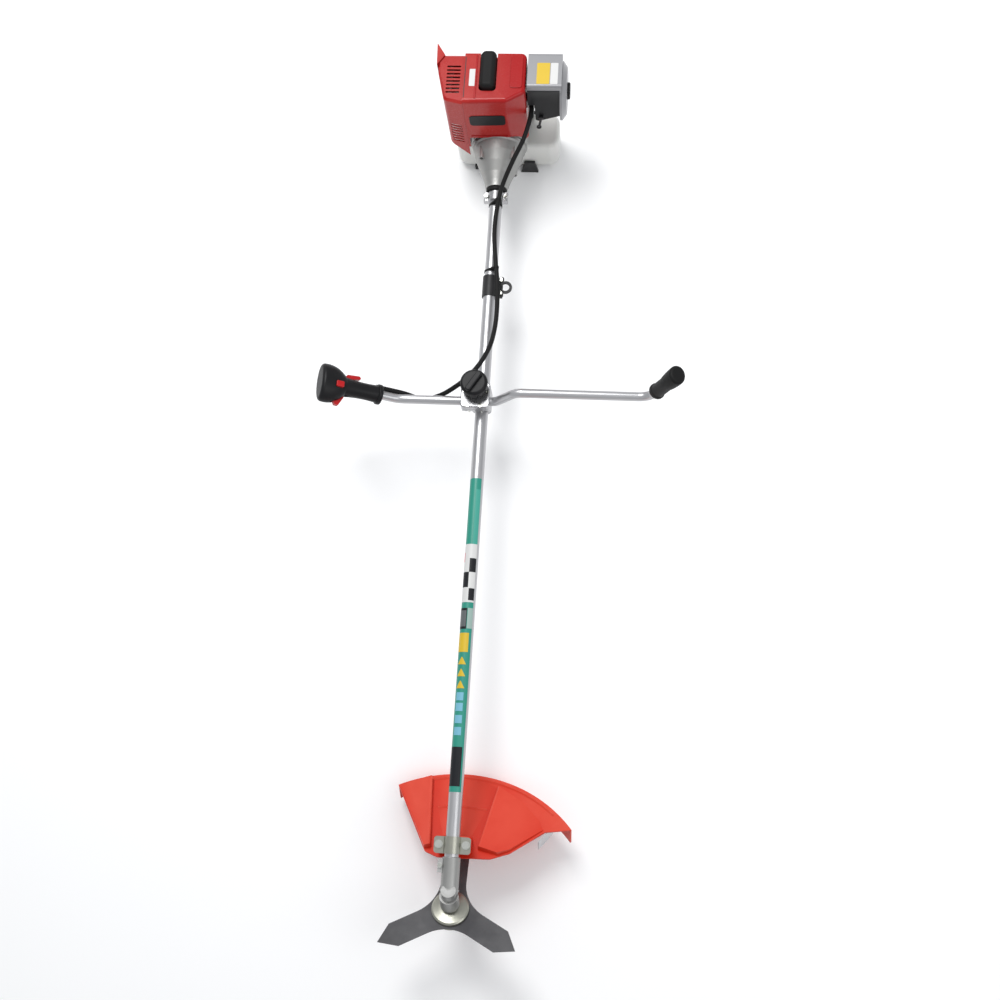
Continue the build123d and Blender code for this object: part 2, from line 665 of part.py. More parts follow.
with BuildPart() as right_grip:
    with BuildSketch(right_station(30)):
        Circle(17)
    extrude(amount=6)
    with BuildSketch(right_station(36)):
        Circle(15)
    extrude(amount=42)
    fillet(right_grip.edges().filter_by(lambda e: e.geom_type == GeomType.CIRCLE and e.radius > 16.5), 1.5)
    with BuildSketch(right_station(29)):
        Circle(BAR_R + 0.02)
    extrude(amount=60, mode=Mode.SUBTRACT)
keep(right_grip, "right_grip")

with BuildPart() as right_grip_cap:
    with BuildSketch(right_station(78)):
        Circle(16)
    with BuildSketch(right_station(100)):
        Ellipse(19, 17.5)
    with BuildSketch(right_station(124)):
        Ellipse(20, 17)
    loft()
    fillet(right_grip_cap.faces().sort_by(Axis(BEND_R3, right_dir))[-1].edges(), 7)
    with BuildSketch(right_station(77)):
        Circle(BAR_R + 0.02)
    extrude(amount=BAR_END_R - 76.5, mode=Mode.SUBTRACT)
keep(right_grip_cap, "right_grip_cap")

# ---------------------------------------------------------------- clutch end of the tube
COUPLER_FROM = 1415.0
COUPLER_TO = 1436.0
COUPLER_SCREW_X = 21.8

with BuildPart() as tube_coupler:
    with BuildSketch(station(COUPLER_FROM)):
        Circle(TUBE_R + 5)
        RectangleRounded(54, 15, 4)
        Circle(TUBE_R + 0.02, mode=Mode.SUBTRACT)
    extrude(amount=-(COUPLER_TO - COUPLER_FROM))
    with BuildSketch(level(-10)):
        with Locations((-COUPLER_SCREW_X, 1425.5), (COUPLER_SCREW_X, 1425.5)):
            Circle(2.55)
    extrude(amount=20, mode=Mode.SUBTRACT)
keep(tube_coupler, "tube_coupler")

with BuildPart() as rubber_ring:
    with BuildSketch(station(COUPLER_TO + 0.1)):
        Circle(23.5)
        Circle(TUBE_R + 0.02, mode=Mode.SUBTRACT)
    extrude(amount=-9.8)
    fillet(rubber_ring.edges().filter_by(lambda e: e.geom_type == GeomType.CIRCLE and e.radius > 20), 3)
keep(rubber_ring, "rubber_ring")

HUB_R = 10.0             # clutch drum's hub in the housing
with BuildPart() as clutch_housing:
    with BuildSketch(Plane.XY) as cone_profile:
        with BuildLine():
            Polyline(
                (TUBE_R + 0.02, 1446), (24.5, 1446), (28, 1460), (34, 1478), (44, 1500), (52.5, 1523), (57.5, 1544),
                (60, 1548), (60, 1556), (54, 1556), (47, 1542), (47, 1514), (38, 1498), (28, 1482), (22, 1470),
                (HUB_R, 1470), (HUB_R, 1453.2), (TUBE_R + 0.02, 1453.2), (TUBE_R + 0.02, 1446),
            )
        make_face()
        fillet(cone_profile.vertices().filter_by_position(Axis.Y, 1455, 1530).filter_by_position(Axis.X, 26, 56), 6)
    revolve(axis=Axis.Y)
    with BuildSketch(station(1505)):
        with PolarLocations(49, 4, start_angle=45):
            Circle(6.5)
    extrude(amount=-51)
    with BuildSketch(station(1500)):
        with PolarLocations(50, 4, start_angle=45):
            Circle(4)
    extrude(amount=-46, mode=Mode.SUBTRACT)
    with BuildSketch(station(1500)):
        Circle(40.6)
    extrude(amount=-60, mode=Mode.SUBTRACT)
keep(clutch_housing, "clutch_housing")

DRUM_R = 40.0
with BuildPart() as clutch_drum:
    with BuildSketch(Plane.XY):
        Polygon(
            (SHAFT_R + 0.01, 1456), (HUB_R - RUNNING, 1456), (HUB_R - RUNNING, 1516), (DRUM_R, 1516), (DRUM_R, 1545),
            (DRUM_R - 2.5, 1545), (DRUM_R - 2.5, 1519), (SHAFT_R + 0.01, 1519),
            align=None,
        )
    revolve(axis=Axis.Y)
keep(clutch_drum, "clutch_drum")

with BuildPart() as clutch_shoes:
    with BuildSketch(station(1523)):
        Circle(DRUM_R - 3.1)
        Circle(21, mode=Mode.SUBTRACT)
        Rectangle(14, 100, mode=Mode.SUBTRACT)
    extrude(amount=-19)
keep(clutch_shoes, "clutch_shoes")

# ---------------------------------------------------------------- engine core
JOURNAL_R = 8.0
CRANK_R = STROKE / 2
WEB_R = 27.0
ROD_L = 62.0             # between the centres of the crank pin and the piston pin
PISTON_PIN_Z = CRANK_R + ROD_L
with BuildPart() as crankshaft:
    with BuildSketch(station(1524)):
        Circle(20.9)
    extrude(amount=-17)
    with BuildSketch(station(1522)):
        Circle(JOURNAL_R)
    extrude(amount=-(CRANK_Y - 9 - 1522))
    with BuildSketch(station(CRANK_Y + 9)):
        Circle(JOURNAL_R)
    extrude(amount=-(1658 - CRANK_Y - 9))
    for web_from in (CRANK_Y - 20, CRANK_Y + 8):
        with BuildSketch(station(web_from)):
            Circle(WEB_R)
            with Locations((0, 24)):
                Rectangle(20, 16, mode=Mode.SUBTRACT)
        extrude(amount=-12)
keep(crankshaft, "crankshaft")

with BuildPart() as connecting_rod:
    with BuildSketch(station(CRANK_Y - 5)):
        with Locations((0, CRANK_R)):
            Circle(10)
        with Locations((0, CRANK_R + ROD_L / 2)):
            Rectangle(9, ROD_L)
        with Locations((0, PISTON_PIN_Z)):
            Circle(8)
            Circle(5.02, mode=Mode.SUBTRACT)
    extrude(amount=-10)
    with BuildSketch(station(CRANK_Y - 7.7)):
        with Locations((0, CRANK_R)):
            Circle(6)
    extrude(amount=-15.4)
keep(connecting_rod, "connecting_rod")

with BuildPart() as piston:
    with BuildSketch(level(PISTON_PIN_Z - 13)):
        with Locations((0, CRANK_Y)):
            Circle(BORE_R - RUNNING)
    extrude(amount=31)
    with BuildSketch(level(PISTON_PIN_Z - 13)):
        with Locations((0, CRANK_Y)):
            Circle(BORE_R - 3)
    extrude(amount=25, mode=Mode.SUBTRACT)
    for groove in (10.5, 14):
        with BuildSketch(level(PISTON_PIN_Z + groove)):
            with Locations((0, CRANK_Y)):
                Circle(BORE_R + 1)
                Circle(BORE_R - 1, mode=Mode.SUBTRACT)
        extrude(amount=1.4, mode=Mode.SUBTRACT)
    with BuildSketch(station(CRANK_Y - BORE_R + 1.5)):
        with Locations((0, PISTON_PIN_Z)):
            Circle(5)
    extrude(amount=-(2 * BORE_R - 3))
keep(piston, "piston")

CASE_R = 36.0
FAN_R = 63.0
with BuildPart() as crankcase:
    with BuildSketch(station(CRANK_Y - 26)):
        Circle(CASE_R)
    extrude(amount=-52)
    with BuildSketch(level(0)):
        with Locations((0, CRANK_Y)):
            Rectangle(64, 52)
    extrude(amount=40)
    with BuildSketch(station(1557)):
        Circle(FAN_R)
    extrude(amount=-(CRANK_Y - 26 - 1557))
    with BuildSketch(station(1556)):
        Circle(FAN_R - 3)
    extrude(amount=-33, mode=Mode.SUBTRACT)
    with BuildSketch(station(1556)):
        Circle(JOURNAL_R + RUNNING)
    extrude(amount=-100, mode=Mode.SUBTRACT)
    with BuildSketch(station(CRANK_Y - 21)):
        Circle(WEB_R + 3)
    extrude(amount=-42, mode=Mode.SUBTRACT)
    with BuildSketch(level(10)):
        with Locations((0, CRANK_Y)):
            Circle(BORE_R + 0.5)
    extrude(amount=40, mode=Mode.SUBTRACT)
keep(crankcase, "crankcase")

with BuildPart() as flywheel:
    with BuildSketch(station(1560)):
        Circle(56)
    extrude(amount=-6)
    with BuildSketch(station(1566)):
        Circle(18)
    extrude(amount=-20)
    with BuildSketch(station(1566)):
        with PolarLocations(44, 16):
            Rectangle(20, 2.4, rotation=35)
    extrude(amount=-16)
    with BuildSketch(station(1555)):
        Circle(JOURNAL_R + 0.01)
    extrude(amount=-40, mode=Mode.SUBTRACT)
keep(flywheel, "flywheel")

PLUG_X = -12.0
HEAD_TOP = 134.0
STARTER_R = 54.0         # recoil starter's housing
with BuildPart() as cylinder:
    with BuildSketch(level(40)):
        with Locations((0, CRANK_Y)):
            RectangleRounded(64, 52, 5)
    extrude(amount=9)
    with BuildSketch(level(49)):
        with Locations((0, CRANK_Y)):
            Circle(BORE_R + 5)
    extrude(amount=HEAD_TOP - 12 - 49)
    for fin in range(9):
        with BuildSketch(level(56 + 8 * fin)):
            with Locations((0, CRANK_Y)):
                RectangleRounded(76, 70, 8)
        extrude(amount=2.2)
    with BuildSketch(level(HEAD_TOP - 12)):
        with Locations((0, CRANK_Y)):
            RectangleRounded(58, 56, 8)
    extrude(amount=12)
    with BuildSketch(level(39)):
        with Locations((0, CRANK_Y)):
            Circle(BORE_R)
    extrude(amount=PISTON_PIN_Z + 24 - 39, mode=Mode.SUBTRACT)
    with BuildSketch(level(HEAD_TOP - 40)):
        with Locations((PLUG_X, CRANK_Y + 4)):
            Circle(7)
    extrude(amount=60, mode=Mode.SUBTRACT)
    with BuildSketch(Plane.YZ.offset(-BORE_R - 2)):
        with Locations((CRANK_Y, 84)):
            Rectangle(30, 24)
    extrude(amount=-15)
    with BuildSketch(Plane.YZ.offset(-BORE_R - 1)):
        with Locations((CRANK_Y, 84)):
            Rectangle(22, 12)
    extrude(amount=-20, mode=Mode.SUBTRACT)
    with BuildSketch(Plane.YZ.offset(BORE_R + 2)):
        with Locations((CRANK_Y, 100)):
            Rectangle(34, 30)
    extrude(amount=18)
    with BuildSketch(Plane.YZ.offset(BORE_R - 1)):
        with Locations((CRANK_Y, 94)):
            Circle(7)
    extrude(amount=30, mode=Mode.SUBTRACT)
    with BuildSketch(station(1580)):
        Circle(FAN_R + SKIN_GAP)
    extrude(amount=-(CRANK_Y - 26 - 1580), mode=Mode.SUBTRACT)
    with BuildSketch(station(CRANK_Y + 26)):
        Circle(STARTER_R + SKIN_GAP)
    extrude(amount=-12, mode=Mode.SUBTRACT)
keep(cylinder, "cylinder")

with BuildPart() as spark_plug:
    with BuildSketch(level(HEAD_TOP - 18)):
        with Locations((PLUG_X, CRANK_Y + 4)):
            Circle(6.98)
    extrude(amount=18)
    with BuildSketch(level(HEAD_TOP)):
        with Locations((PLUG_X, CRANK_Y + 4)):
            RegularPolygon(11, 6)
    extrude(amount=14)
    with BuildSketch(level(HEAD_TOP + 14)):
        with Locations((PLUG_X, CRANK_Y + 4)):
            Circle(5)
    extrude(amount=26)
keep(spark_plug, "spark_plug")

with BuildPart() as muffler:
    with BuildSketch(level(46)):
        with Locations((-72, CRANK_Y)):
            RectangleRounded(54, 80, 12)
    extrude(amount=92)
    fillet(muffler.edges().group_by(Axis.Z)[-1] + muffler.edges().group_by(Axis.Z)[0], 6)
    with BuildSketch(level(52)):
        with Locations((-72, CRANK_Y)):
            RectangleRounded(50, 76, 10)
    extrude(amount=80, mode=Mode.SUBTRACT)
    with BuildSketch(Plane.YZ.offset(-39)):
        with Locations((CRANK_Y, 84)):
            Rectangle(34, 28)
    extrude(amount=-7)
    with BuildSketch(Plane.YZ.offset(-36)):
        with Locations((CRANK_Y, 84)):
            Rectangle(22, 12)
    extrude(amount=-14, mode=Mode.SUBTRACT)
    with BuildSketch(Plane.YZ.offset(-94)):
        with Locations((CRANK_Y - 20, 70)):
            Circle(6)
    extrude(amount=-10, mode=Mode.SUBTRACT)
keep(muffler, "muffler")

# ---------------------------------------------------------------- covers over the engine
COVER_LEFT = -66.0
COVER_RIGHT = 67.0
COVER_FRONT = 1543.0
COVER_REAR = 1667.0
COVER_LOW = 22.0
COVER_TOP = 195.0
COVER_T = 2.5
LIP_Z = 57.0             # lower edge of the cover's front wall, over the clutch housing
BOOT_X = -14.0           # middle of the spark plug cap
BOOT_Y = 1618.0
BOOT_W = 34.0
BOOT_L = 92.0

with BuildPart() as engine_cover:
    with BuildSketch(level(COVER_LOW)):
        Polygon(
            (COVER_LEFT, COVER_FRONT), (28, COVER_FRONT + 3), (COVER_RIGHT, COVER_FRONT + 26),
            (COVER_RIGHT, COVER_REAR), (COVER_LEFT, COVER_REAR),
            align=None,
        )
    extrude(amount=COVER_TOP - COVER_LOW)
    fillet(engine_cover.edges().filter_by(Axis.Z).filter_by(lambda e: e.center().X > 0), 12)
    fillet(engine_cover.edges().group_by(Axis.Z)[-1].filter_by(lambda e: e.center().X > COVER_LEFT + 1), 8)
    offset(amount=-COVER_T, openings=engine_cover.faces().sort_by(Axis.Z)[0])
    with BuildSketch(level(COVER_TOP - 20)):
        with Locations((BOOT_X, BOOT_Y)):
            RectangleRounded(BOOT_W + 3, BOOT_L + 3, 8)
        with Locations((BOOT_X, COVER_REAR - 5)):
            Rectangle(BOOT_W + 3, 30)
    extrude(amount=30, mode=Mode.SUBTRACT)
    with BuildSketch(station(COVER_FRONT - 2)):
        Circle(FAN_R - 2.2)
        with Locations((0, LIP_Z - 30)):
            Rectangle(124, 60)
    extrude(amount=-8, mode=Mode.SUBTRACT)
    with BuildSketch(station(COVER_FRONT + 4)):
        Circle(FAN_R + 0.6)
    extrude(amount=-50, mode=Mode.SUBTRACT)
    with BuildSketch(station(COVER_REAR - 6)):
        Circle(STARTER_R + 2)
    extrude(amount=-10, mode=Mode.SUBTRACT)
    with BuildSketch(Plane.YZ.offset(COVER_LEFT - 2)):
        with Locations((CRANK_Y, 92)):
            Rectangle(86, 100)
    extrude(amount=8, mode=Mode.SUBTRACT)
    with BuildSketch(Plane.YZ.offset(COVER_RIGHT - 6)):
        with Locations((CRANK_Y, 98)):
            Rectangle(54, 48)
    extrude(amount=10, mode=Mode.SUBTRACT)
keep(engine_cover, "engine_cover")

SIDE_LOW = -12.0
SIDE_TOP = 190.0
SIDE_REAR = 1664.0
with BuildPart() as muffler_cover:
    with BuildSketch(level(SIDE_LOW)):
        Polygon(
            (COVER_LEFT - SKIN_GAP, COVER_FRONT), (COVER_LEFT - SKIN_GAP, SIDE_REAR), (-127, SIDE_REAR),
            (-123, 1620), (-107, COVER_FRONT + 10),
            align=None,
        )
    extrude(amount=SIDE_TOP - SIDE_LOW)
    fillet(muffler_cover.edges().filter_by(Axis.Z).group_by(Axis.X)[2], 12)
    with BuildSketch(station(COVER_FRONT - 10)):
        Polygon((-60, -17.5), (-130, 43.7), (-130, -30), (-60, -30), align=None)
    extrude(amount=-150, mode=Mode.SUBTRACT)
    chamfer(muffler_cover.edges().group_by(Axis.Z)[-1].filter_by(lambda e: e.center().X < COVER_LEFT - 1), 5)
    openings = muffler_cover.faces().sort_by(Axis.X)[-1:] + muffler_cover.faces().sort_by(Axis.Z)[:1]
    offset(amount=-COVER_T, openings=openings)
    with BuildSketch(level(120)):
        Polygon((-126.5, 1636), (-110, SIDE_REAR - 4), (-127.5, 1688), (-128.5, 1686), align=None)
    extrude(amount=SIDE_TOP + 4 - 120)
    with BuildSketch(level(SIDE_TOP - 10)):
        with Locations((-89, 1602)):
            with GridLocations(0, 9, 1, 8):
                RectangleRounded(30, 4.4, 2)
    extrude(amount=20, mode=Mode.SUBTRACT)
    with BuildSketch(station(COVER_FRONT - 2)):
        with Locations((-88, 68)):
            with GridLocations(0, 10, 1, 7):
                RectangleRounded(26, 4.8, 2)
    extrude(amount=-20, mode=Mode.SUBTRACT)
keep(muffler_cover, "muffler_cover")

with BuildPart() as plug_cap:
    with BuildSketch(level(168)):
        with Locations((BOOT_X, BOOT_Y)):
            RectangleRounded(BOOT_W, BOOT_L, 12)
    extrude(amount=42)
    fillet(plug_cap.edges().group_by(Axis.Z)[-1], 11)
    with BuildSketch(level(149)):
        with Locations((PLUG_X, CRANK_Y + 4)):
            Circle(10)
    extrude(amount=19)
    with BuildSketch(level(140)):
        with Locations((PLUG_X, CRANK_Y + 4)):
            Circle(5.05)
    extrude(amount=36, mode=Mode.SUBTRACT)
keep(plug_cap, "plug_cap")

# ---------------------------------------------------------------- carburettor and air cleaner
THROAT_Z = 94.0
THROTTLE_AT = (59.0, 1622.0)
CABLE_STOP_Y = 1598.0
CABLE_STOP_X = 76.0
CABLE_STOP_Z = 110.0

with BuildPart() as carburettor:
    with BuildSketch(Plane.YZ.offset(42)):
        with Locations((CRANK_Y, THROAT_Z)):
            RectangleRounded(38, 36, 5)
    extrude(amount=24)
    with BuildSketch(Plane.YZ.offset(41)):
        with Locations((CRANK_Y, THROAT_Z)):
            Circle(8)
    extrude(amount=26, mode=Mode.SUBTRACT)
    with BuildSketch(level(THROAT_Z + 10)):
        with Locations(THROTTLE_AT):
            Circle(2.05)
    extrude(amount=10, mode=Mode.SUBTRACT)
    with BuildSketch(station(CABLE_STOP_Y)):
        with Locations((70, 104)):
            Rectangle(24, 24)
    extrude(amount=-3)
    with BuildSketch(station(CABLE_STOP_Y - 1)):
        with Locations((CABLE_STOP_X, CABLE_STOP_Z)):
            Circle(1.4)
    extrude(amount=-8, mode=Mode.SUBTRACT)
keep(carburettor, "carburettor")

with BuildPart() as throttle_lever:
    with BuildSketch(level(THROAT_Z + 18.3)):
        with Locations(THROTTLE_AT):
            Circle(5)
        with Locations((THROTTLE_AT[0] - 7, THROTTLE_AT[1])):
            RectangleRounded(16, 6, 2)
    extrude(amount=2.5)
    with BuildSketch(level(THROAT_Z + 11)):
        with Locations(THROTTLE_AT):
            Circle(2)
    extrude(amount=9)
keep(throttle_lever, "throttle_lever")

FILTER_LEFT = 70.0
FILTER_STEP = 84.0
FILTER_RIGHT = 139.5
FILTER_FRONT = 1582.0
FILTER_REAR = 1668.0
FILTER_SPLIT = 178.0     # the silver cover's top starts here
FILTER_TOP = 193.0
FILTER_MID = (FILTER_FRONT + FILTER_REAR) / 2
CHOKE_AT = (97.0, 84.0)

with BuildPart() as air_filter_case:
    with BuildSketch(station(FILTER_FRONT)):
        Polygon(
            (FILTER_LEFT, FILTER_SPLIT), (FILTER_LEFT, 126), (FILTER_STEP, 126), (FILTER_STEP, 64),
            (FILTER_RIGHT, 87), (FILTER_RIGHT, FILTER_SPLIT),
            align=None,
        )
    extrude(amount=-(FILTER_REAR - FILTER_FRONT))
    fillet(air_filter_case.edges().filter_by(Axis.Y).sort_by(Axis.Z)[0], 7)
    offset(amount=-2.5, openings=air_filter_case.faces().sort_by(Axis.X)[-1])
    with BuildSketch(Plane.YZ.offset(66)):
        with Locations((CRANK_Y, THROAT_Z)):
            Circle(13)
    extrude(amount=19)
    with BuildSketch(Plane.YZ.offset(65)):
        with Locations((CRANK_Y, THROAT_Z)):
            Circle(9)
    extrude(amount=28, mode=Mode.SUBTRACT)
    with BuildSketch(station(FILTER_FRONT - 3)):
        with Locations(CHOKE_AT):
            Circle(5)
    extrude(amount=-4)
    with BuildSketch(station(FILTER_FRONT - 4)):
        with Locations(CHOKE_AT):
            Circle(2.05)
    extrude(amount=-8, mode=Mode.SUBTRACT)
keep(air_filter_case, "air_filter_case")

LID_AT = (1623.0, 120.0)
LID_R = 62.0
LID_T = 14.0
with BuildPart() as air_filter_cover:
    with BuildSketch(Plane.YZ.offset(FILTER_RIGHT + SKIN_GAP)):
        with Locations(LID_AT):
            Circle(LID_R)
    extrude(amount=5)
    with BuildSketch(Plane.YZ.offset(FILTER_RIGHT + SKIN_GAP + 5)):
        with Locations(LID_AT):
            Circle(LID_R)
    extrude(amount=LID_T - 5, taper=55)
    with BuildSketch(Plane.YZ.offset(FILTER_RIGHT + SKIN_GAP)):
        with Locations((FILTER_MID, 155)):
            Rectangle(FILTER_REAR - FILTER_FRONT - 2, 2 * (FILTER_TOP - SKIN_GAP - 155))
    extrude(amount=4)
    with BuildSketch(Plane.YZ.offset(FILTER_LEFT)):
        with Locations((FILTER_MID, (FILTER_SPLIT + FILTER_TOP) / 2)):
            Rectangle(FILTER_REAR - FILTER_FRONT - 2, FILTER_TOP - FILTER_SPLIT - 2 * SKIN_GAP)
    extrude(amount=FILTER_RIGHT - FILTER_LEFT + 1)
    fillet(air_filter_cover.edges().filter_by(Axis.X).group_by(Axis.Z)[-1], 6)
    with BuildSketch(Plane.YZ.offset(FILTER_LEFT - 1)):
        with Locations((FILTER_MID, (FILTER_SPLIT + FILTER_TOP) / 2 - 3)):
            Rectangle(FILTER_REAR - FILTER_FRONT - 16, FILTER_TOP - FILTER_SPLIT)
    extrude(amount=FILTER_RIGHT - FILTER_LEFT - 4, mode=Mode.SUBTRACT)
    with BuildSketch(Plane.YZ.offset(FILTER_RIGHT)):
        with Locations(LID_AT):
            Circle(46)
    extrude(amount=8, mode=Mode.SUBTRACT)
    with BuildSketch(Plane.YZ.offset(FILTER_RIGHT)):
        with Locations(LID_AT):
            Circle(4.05)
    extrude(amount=20, mode=Mode.SUBTRACT)
keep(air_filter_cover, "air_filter_cover")

KNOB_FACE = FILTER_RIGHT + LID_T + 2 * SKIN_GAP
with BuildPart() as cover_knob:
    with BuildSketch(Plane.YZ.offset(KNOB_FACE)):
        with Locations(LID_AT):
            Circle(18)
    extrude(amount=6)
    fillet(cover_knob.edges().sort_by(Axis.X)[-1], 2.5)
    with BuildSketch(Plane.YZ.offset(KNOB_FACE)):
        with Locations(LID_AT):
            with PolarLocations(20.5, 8):
                Circle(4)
    extrude(amount=8, mode=Mode.SUBTRACT)
    with BuildSketch(Plane.YZ.offset(FILTER_RIGHT - 10)):
        with Locations(LID_AT):
            Circle(4)
    extrude(amount=LID_T + 12)
keep(cover_knob, "cover_knob")

with BuildPart() as choke_lever:
    with BuildSketch(station(FILTER_FRONT - 6.5)):
        with Locations(CHOKE_AT):
            Circle(5)
        with Locations((CHOKE_AT[0] - 3, CHOKE_AT[1] - 16)):
            Rectangle(5, 30, rotation=-10)
        with Locations((CHOKE_AT[0] - 6, CHOKE_AT[1] - 33)):
            Circle(5.5)
            Circle(2.6, mode=Mode.SUBTRACT)
    extrude(amount=-3)
    with BuildSketch(station(FILTER_FRONT - 4)):
        with Locations(CHOKE_AT):
            Circle(2)
    extrude(amount=-7)
keep(choke_lever, "choke_lever")

# ---------------------------------------------------------------- fuel tank, stand and starter
TANK_LEFT = -106.0
TANK_RIGHT = 132.0
TANK_FRONT = 1580.0
TANK_REAR = 1668.0
TANK_TOP = -32.0
TANK_LOW = -118.0
FILLER = (66.0, -72.0)

with BuildPart() as fuel_tank:
    with BuildSketch(level(TANK_LOW)):
        with Locations(((TANK_LEFT + TANK_RIGHT) / 2, (TANK_FRONT + TANK_REAR) / 2)):
            RectangleRounded(TANK_RIGHT - TANK_LEFT, TANK_REAR - TANK_FRONT, 24)
    extrude(amount=TANK_TOP - TANK_LOW)
    fillet(fuel_tank.edges().group_by(Axis.Z)[-1] + fuel_tank.edges().group_by(Axis.Z)[0], 10)
    with BuildSketch(station(TANK_FRONT - 12)):
        Circle(FAN_R + 1.5)
    extrude(amount=-140, mode=Mode.SUBTRACT)
    with BuildSketch(station(TANK_REAR + 10)):
        with Locations(FILLER):
            Circle(15)
    extrude(amount=12)
keep(fuel_tank, "fuel_tank")

with BuildPart() as fuel_cap:
    with BuildSketch(station(TANK_REAR + 20)):
        with Locations(FILLER):
            Circle(20)
    extrude(amount=19)
    fillet(fuel_cap.edges().sort_by(Axis.Y)[-1], 3)
    with BuildSketch(station(TANK_REAR + 11)):
        with Locations(FILLER):
            Circle(15 + RUNNING)
    extrude(amount=14, mode=Mode.SUBTRACT)
    with BuildSketch(station(TANK_REAR + 21)):
        with Locations(FILLER):
            with PolarLocations(21, 16):
                Circle(2)
    extrude(amount=23, mode=Mode.SUBTRACT)
keep(fuel_cap, "fuel_cap")

ROPE_Z = -22.0           # the rope leaves the pulley's underside
with BuildPart() as starter_housing:
    with BuildSketch(station(CRANK_Y + 26.2)):
        Circle(STARTER_R)
    extrude(amount=-54)
    fillet(starter_housing.edges().sort_by(Axis.Y)[-1], 8)
    with BuildSketch(station(CRANK_Y + 26)):
        Circle(STARTER_R - 4)
    extrude(amount=-50, mode=Mode.SUBTRACT)
    with BuildSketch(station(CRANK_Y + 44)):
        Circle(7)
    extrude(amount=-34)
    with BuildSketch(Plane.YZ.offset(30)):
        with Locations((CRANK_Y + 51, ROPE_Z)):
            Circle(5)
    extrude(amount=30, mode=Mode.SUBTRACT)
    with BuildSketch(station(CRANK_Y + 60)):
        with PolarLocations(32, 12):
            SlotOverall(22, 5)
    extrude(amount=-30, mode=Mode.SUBTRACT)
keep(starter_housing, "starter_housing")

with BuildPart() as starter_pulley:
    with BuildSketch(Plane.XY):
        Polygon(
            (7 + RUNNING, CRANK_Y + 45), (26, CRANK_Y + 45), (26, CRANK_Y + 47), (21, CRANK_Y + 48.5),
            (21, CRANK_Y + 53.5), (26, CRANK_Y + 55), (26, CRANK_Y + 57), (7 + RUNNING, CRANK_Y + 57),
            align=None,
        )
    revolve(axis=Axis.Y)
keep(starter_pulley, "starter_pulley")

with BuildPart() as starter_handle:
    with BuildSketch(Plane.YZ.offset(57)):
        with Locations((CRANK_Y + 51, ROPE_Z)):
            SlotOverall(46, 17)
    extrude(amount=15)
    fillet(starter_handle.edges().group_by(Axis.X)[-1], 5)
    with BuildSketch(Plane.YZ.offset(44)):
        with Locations((CRANK_Y + 51, ROPE_Z)):
            Circle(2)
    extrude(amount=14)
keep(starter_handle, "starter_handle")

# ---------------------------------------------------------------- resting pose
# The tool lies on the guard's rim and the stand, so the tube points a little up at the blade.
guard_low = blade_centre + rearward * GUARD_R
stand_at = Vector(0, 1660, STAND_Z)
REST_TILT = degrees(atan2(stand_at.Z - guard_low.Z, stand_at.Y - guard_low.Y))
floor_plane = Plane(origin=guard_low, x_dir=(1, 0, 0), z_dir=Vector(0, 0, 1).rotate(Axis.X, REST_TILT))

with BuildPart() as tank_stand:
    for side, front in ((-62, 1578), (62, 1572)):
        with BuildSketch(Plane.YZ.offset(side - 6)):
            Polygon((front, STAND_Z - 8), (1676, STAND_Z - 8), (1676, TANK_LOW), (front, TANK_LOW), align=None)
        extrude(amount=12)
    for cross_y in (1607, 1650):
        with BuildSketch(level(TANK_LOW)):
            with Locations((0, cross_y)):
                Rectangle(136, 14)
        extrude(amount=-7)
    with BuildSketch(station(1572)):
        Polygon((40, STAND_Z - 8), (83, STAND_Z - 8), (75, -92), (51, -92), align=None)
    extrude(amount=-6)
    with BuildSketch(level(-STARTER_R + 1.8)):
        with Locations((0, 1672.5)):
            Rectangle(30, 7)
    extrude(amount=-(-STARTER_R + 1.8 - TANK_LOW + 7))
    with BuildSketch(level(TANK_LOW)):
        with Locations((0, 1663)):
            Rectangle(30, 26)
    extrude(amount=-7)
    with BuildSketch(station(1660)):
        Circle(STARTER_R)
    extrude(amount=-30, mode=Mode.SUBTRACT)
    split(bisect_by=floor_plane, keep=Keep.TOP)
keep(tank_stand, "tank_stand")

# ---------------------------------------------------------------- throttle cable
CABLE_ROUTE = [
    (CABLE_STOP_X, CABLE_STOP_Y, CABLE_STOP_Z),
    (76, 1566, 110),
    (64, 1520, 96),
    (38, 1478, 70),
    (14, 1430, 40),
    (5, 1380, 25.5),
    (3, 1325, 23),
    (9, 1270, 24),
    (17, 1215, 25),
    (21, 1160, 26),
    (21, 1105, 31),
    (15, 1052, 44),
    (0, 1008, 59),
    (-17, 980, 64),
    (-36, 959, 64),
    (-58, 946, 54),
    (-81, 939, 35),
    (-108, 933, 23.5),
    (-134, 932, 23),
    (-160, 939, 32),
    tuple(left_point(-15.6, 0, 20)),
    tuple(left_point(-15.6, 0, 51)),
]


def bend_radii(route):
    """The largest tangent arc that each corner's shorter run leaves room for."""
    radii = []
    for before, here, after in zip(route, route[1:], route[2:]):
        run_in = Vector(*here) - Vector(*before)
        run_out = Vector(*after) - Vector(*here)
        turn = radians(run_in.get_angle(run_out))
        radii.append(0.45 * min(run_in.length, run_out.length) / tan(turn / 2))
    return radii


with BuildPart() as throttle_cable:
    with BuildLine() as cable_line:
        FilletPolyline(*CABLE_ROUTE, radius=bend_radii(CABLE_ROUTE))
    with BuildSketch(Plane(origin=cable_line.line @ 0, z_dir=cable_line.line % 0)):
        Circle(CABLE_R)
    sweep(path=cable_line.line)
keep(throttle_cable, "throttle_cable")
cable_length = sum(edge.length for edge in cable_line.edges())
cable_fill = throttle_cable.part.volume / (pi * CABLE_R**2 * cable_length)
print("cable radii", [round(radius) for radius in bend_radii(CABLE_ROUTE)])
print("cable length", round(cable_length, 1), "volume over section x length", round(cable_fill, 4))


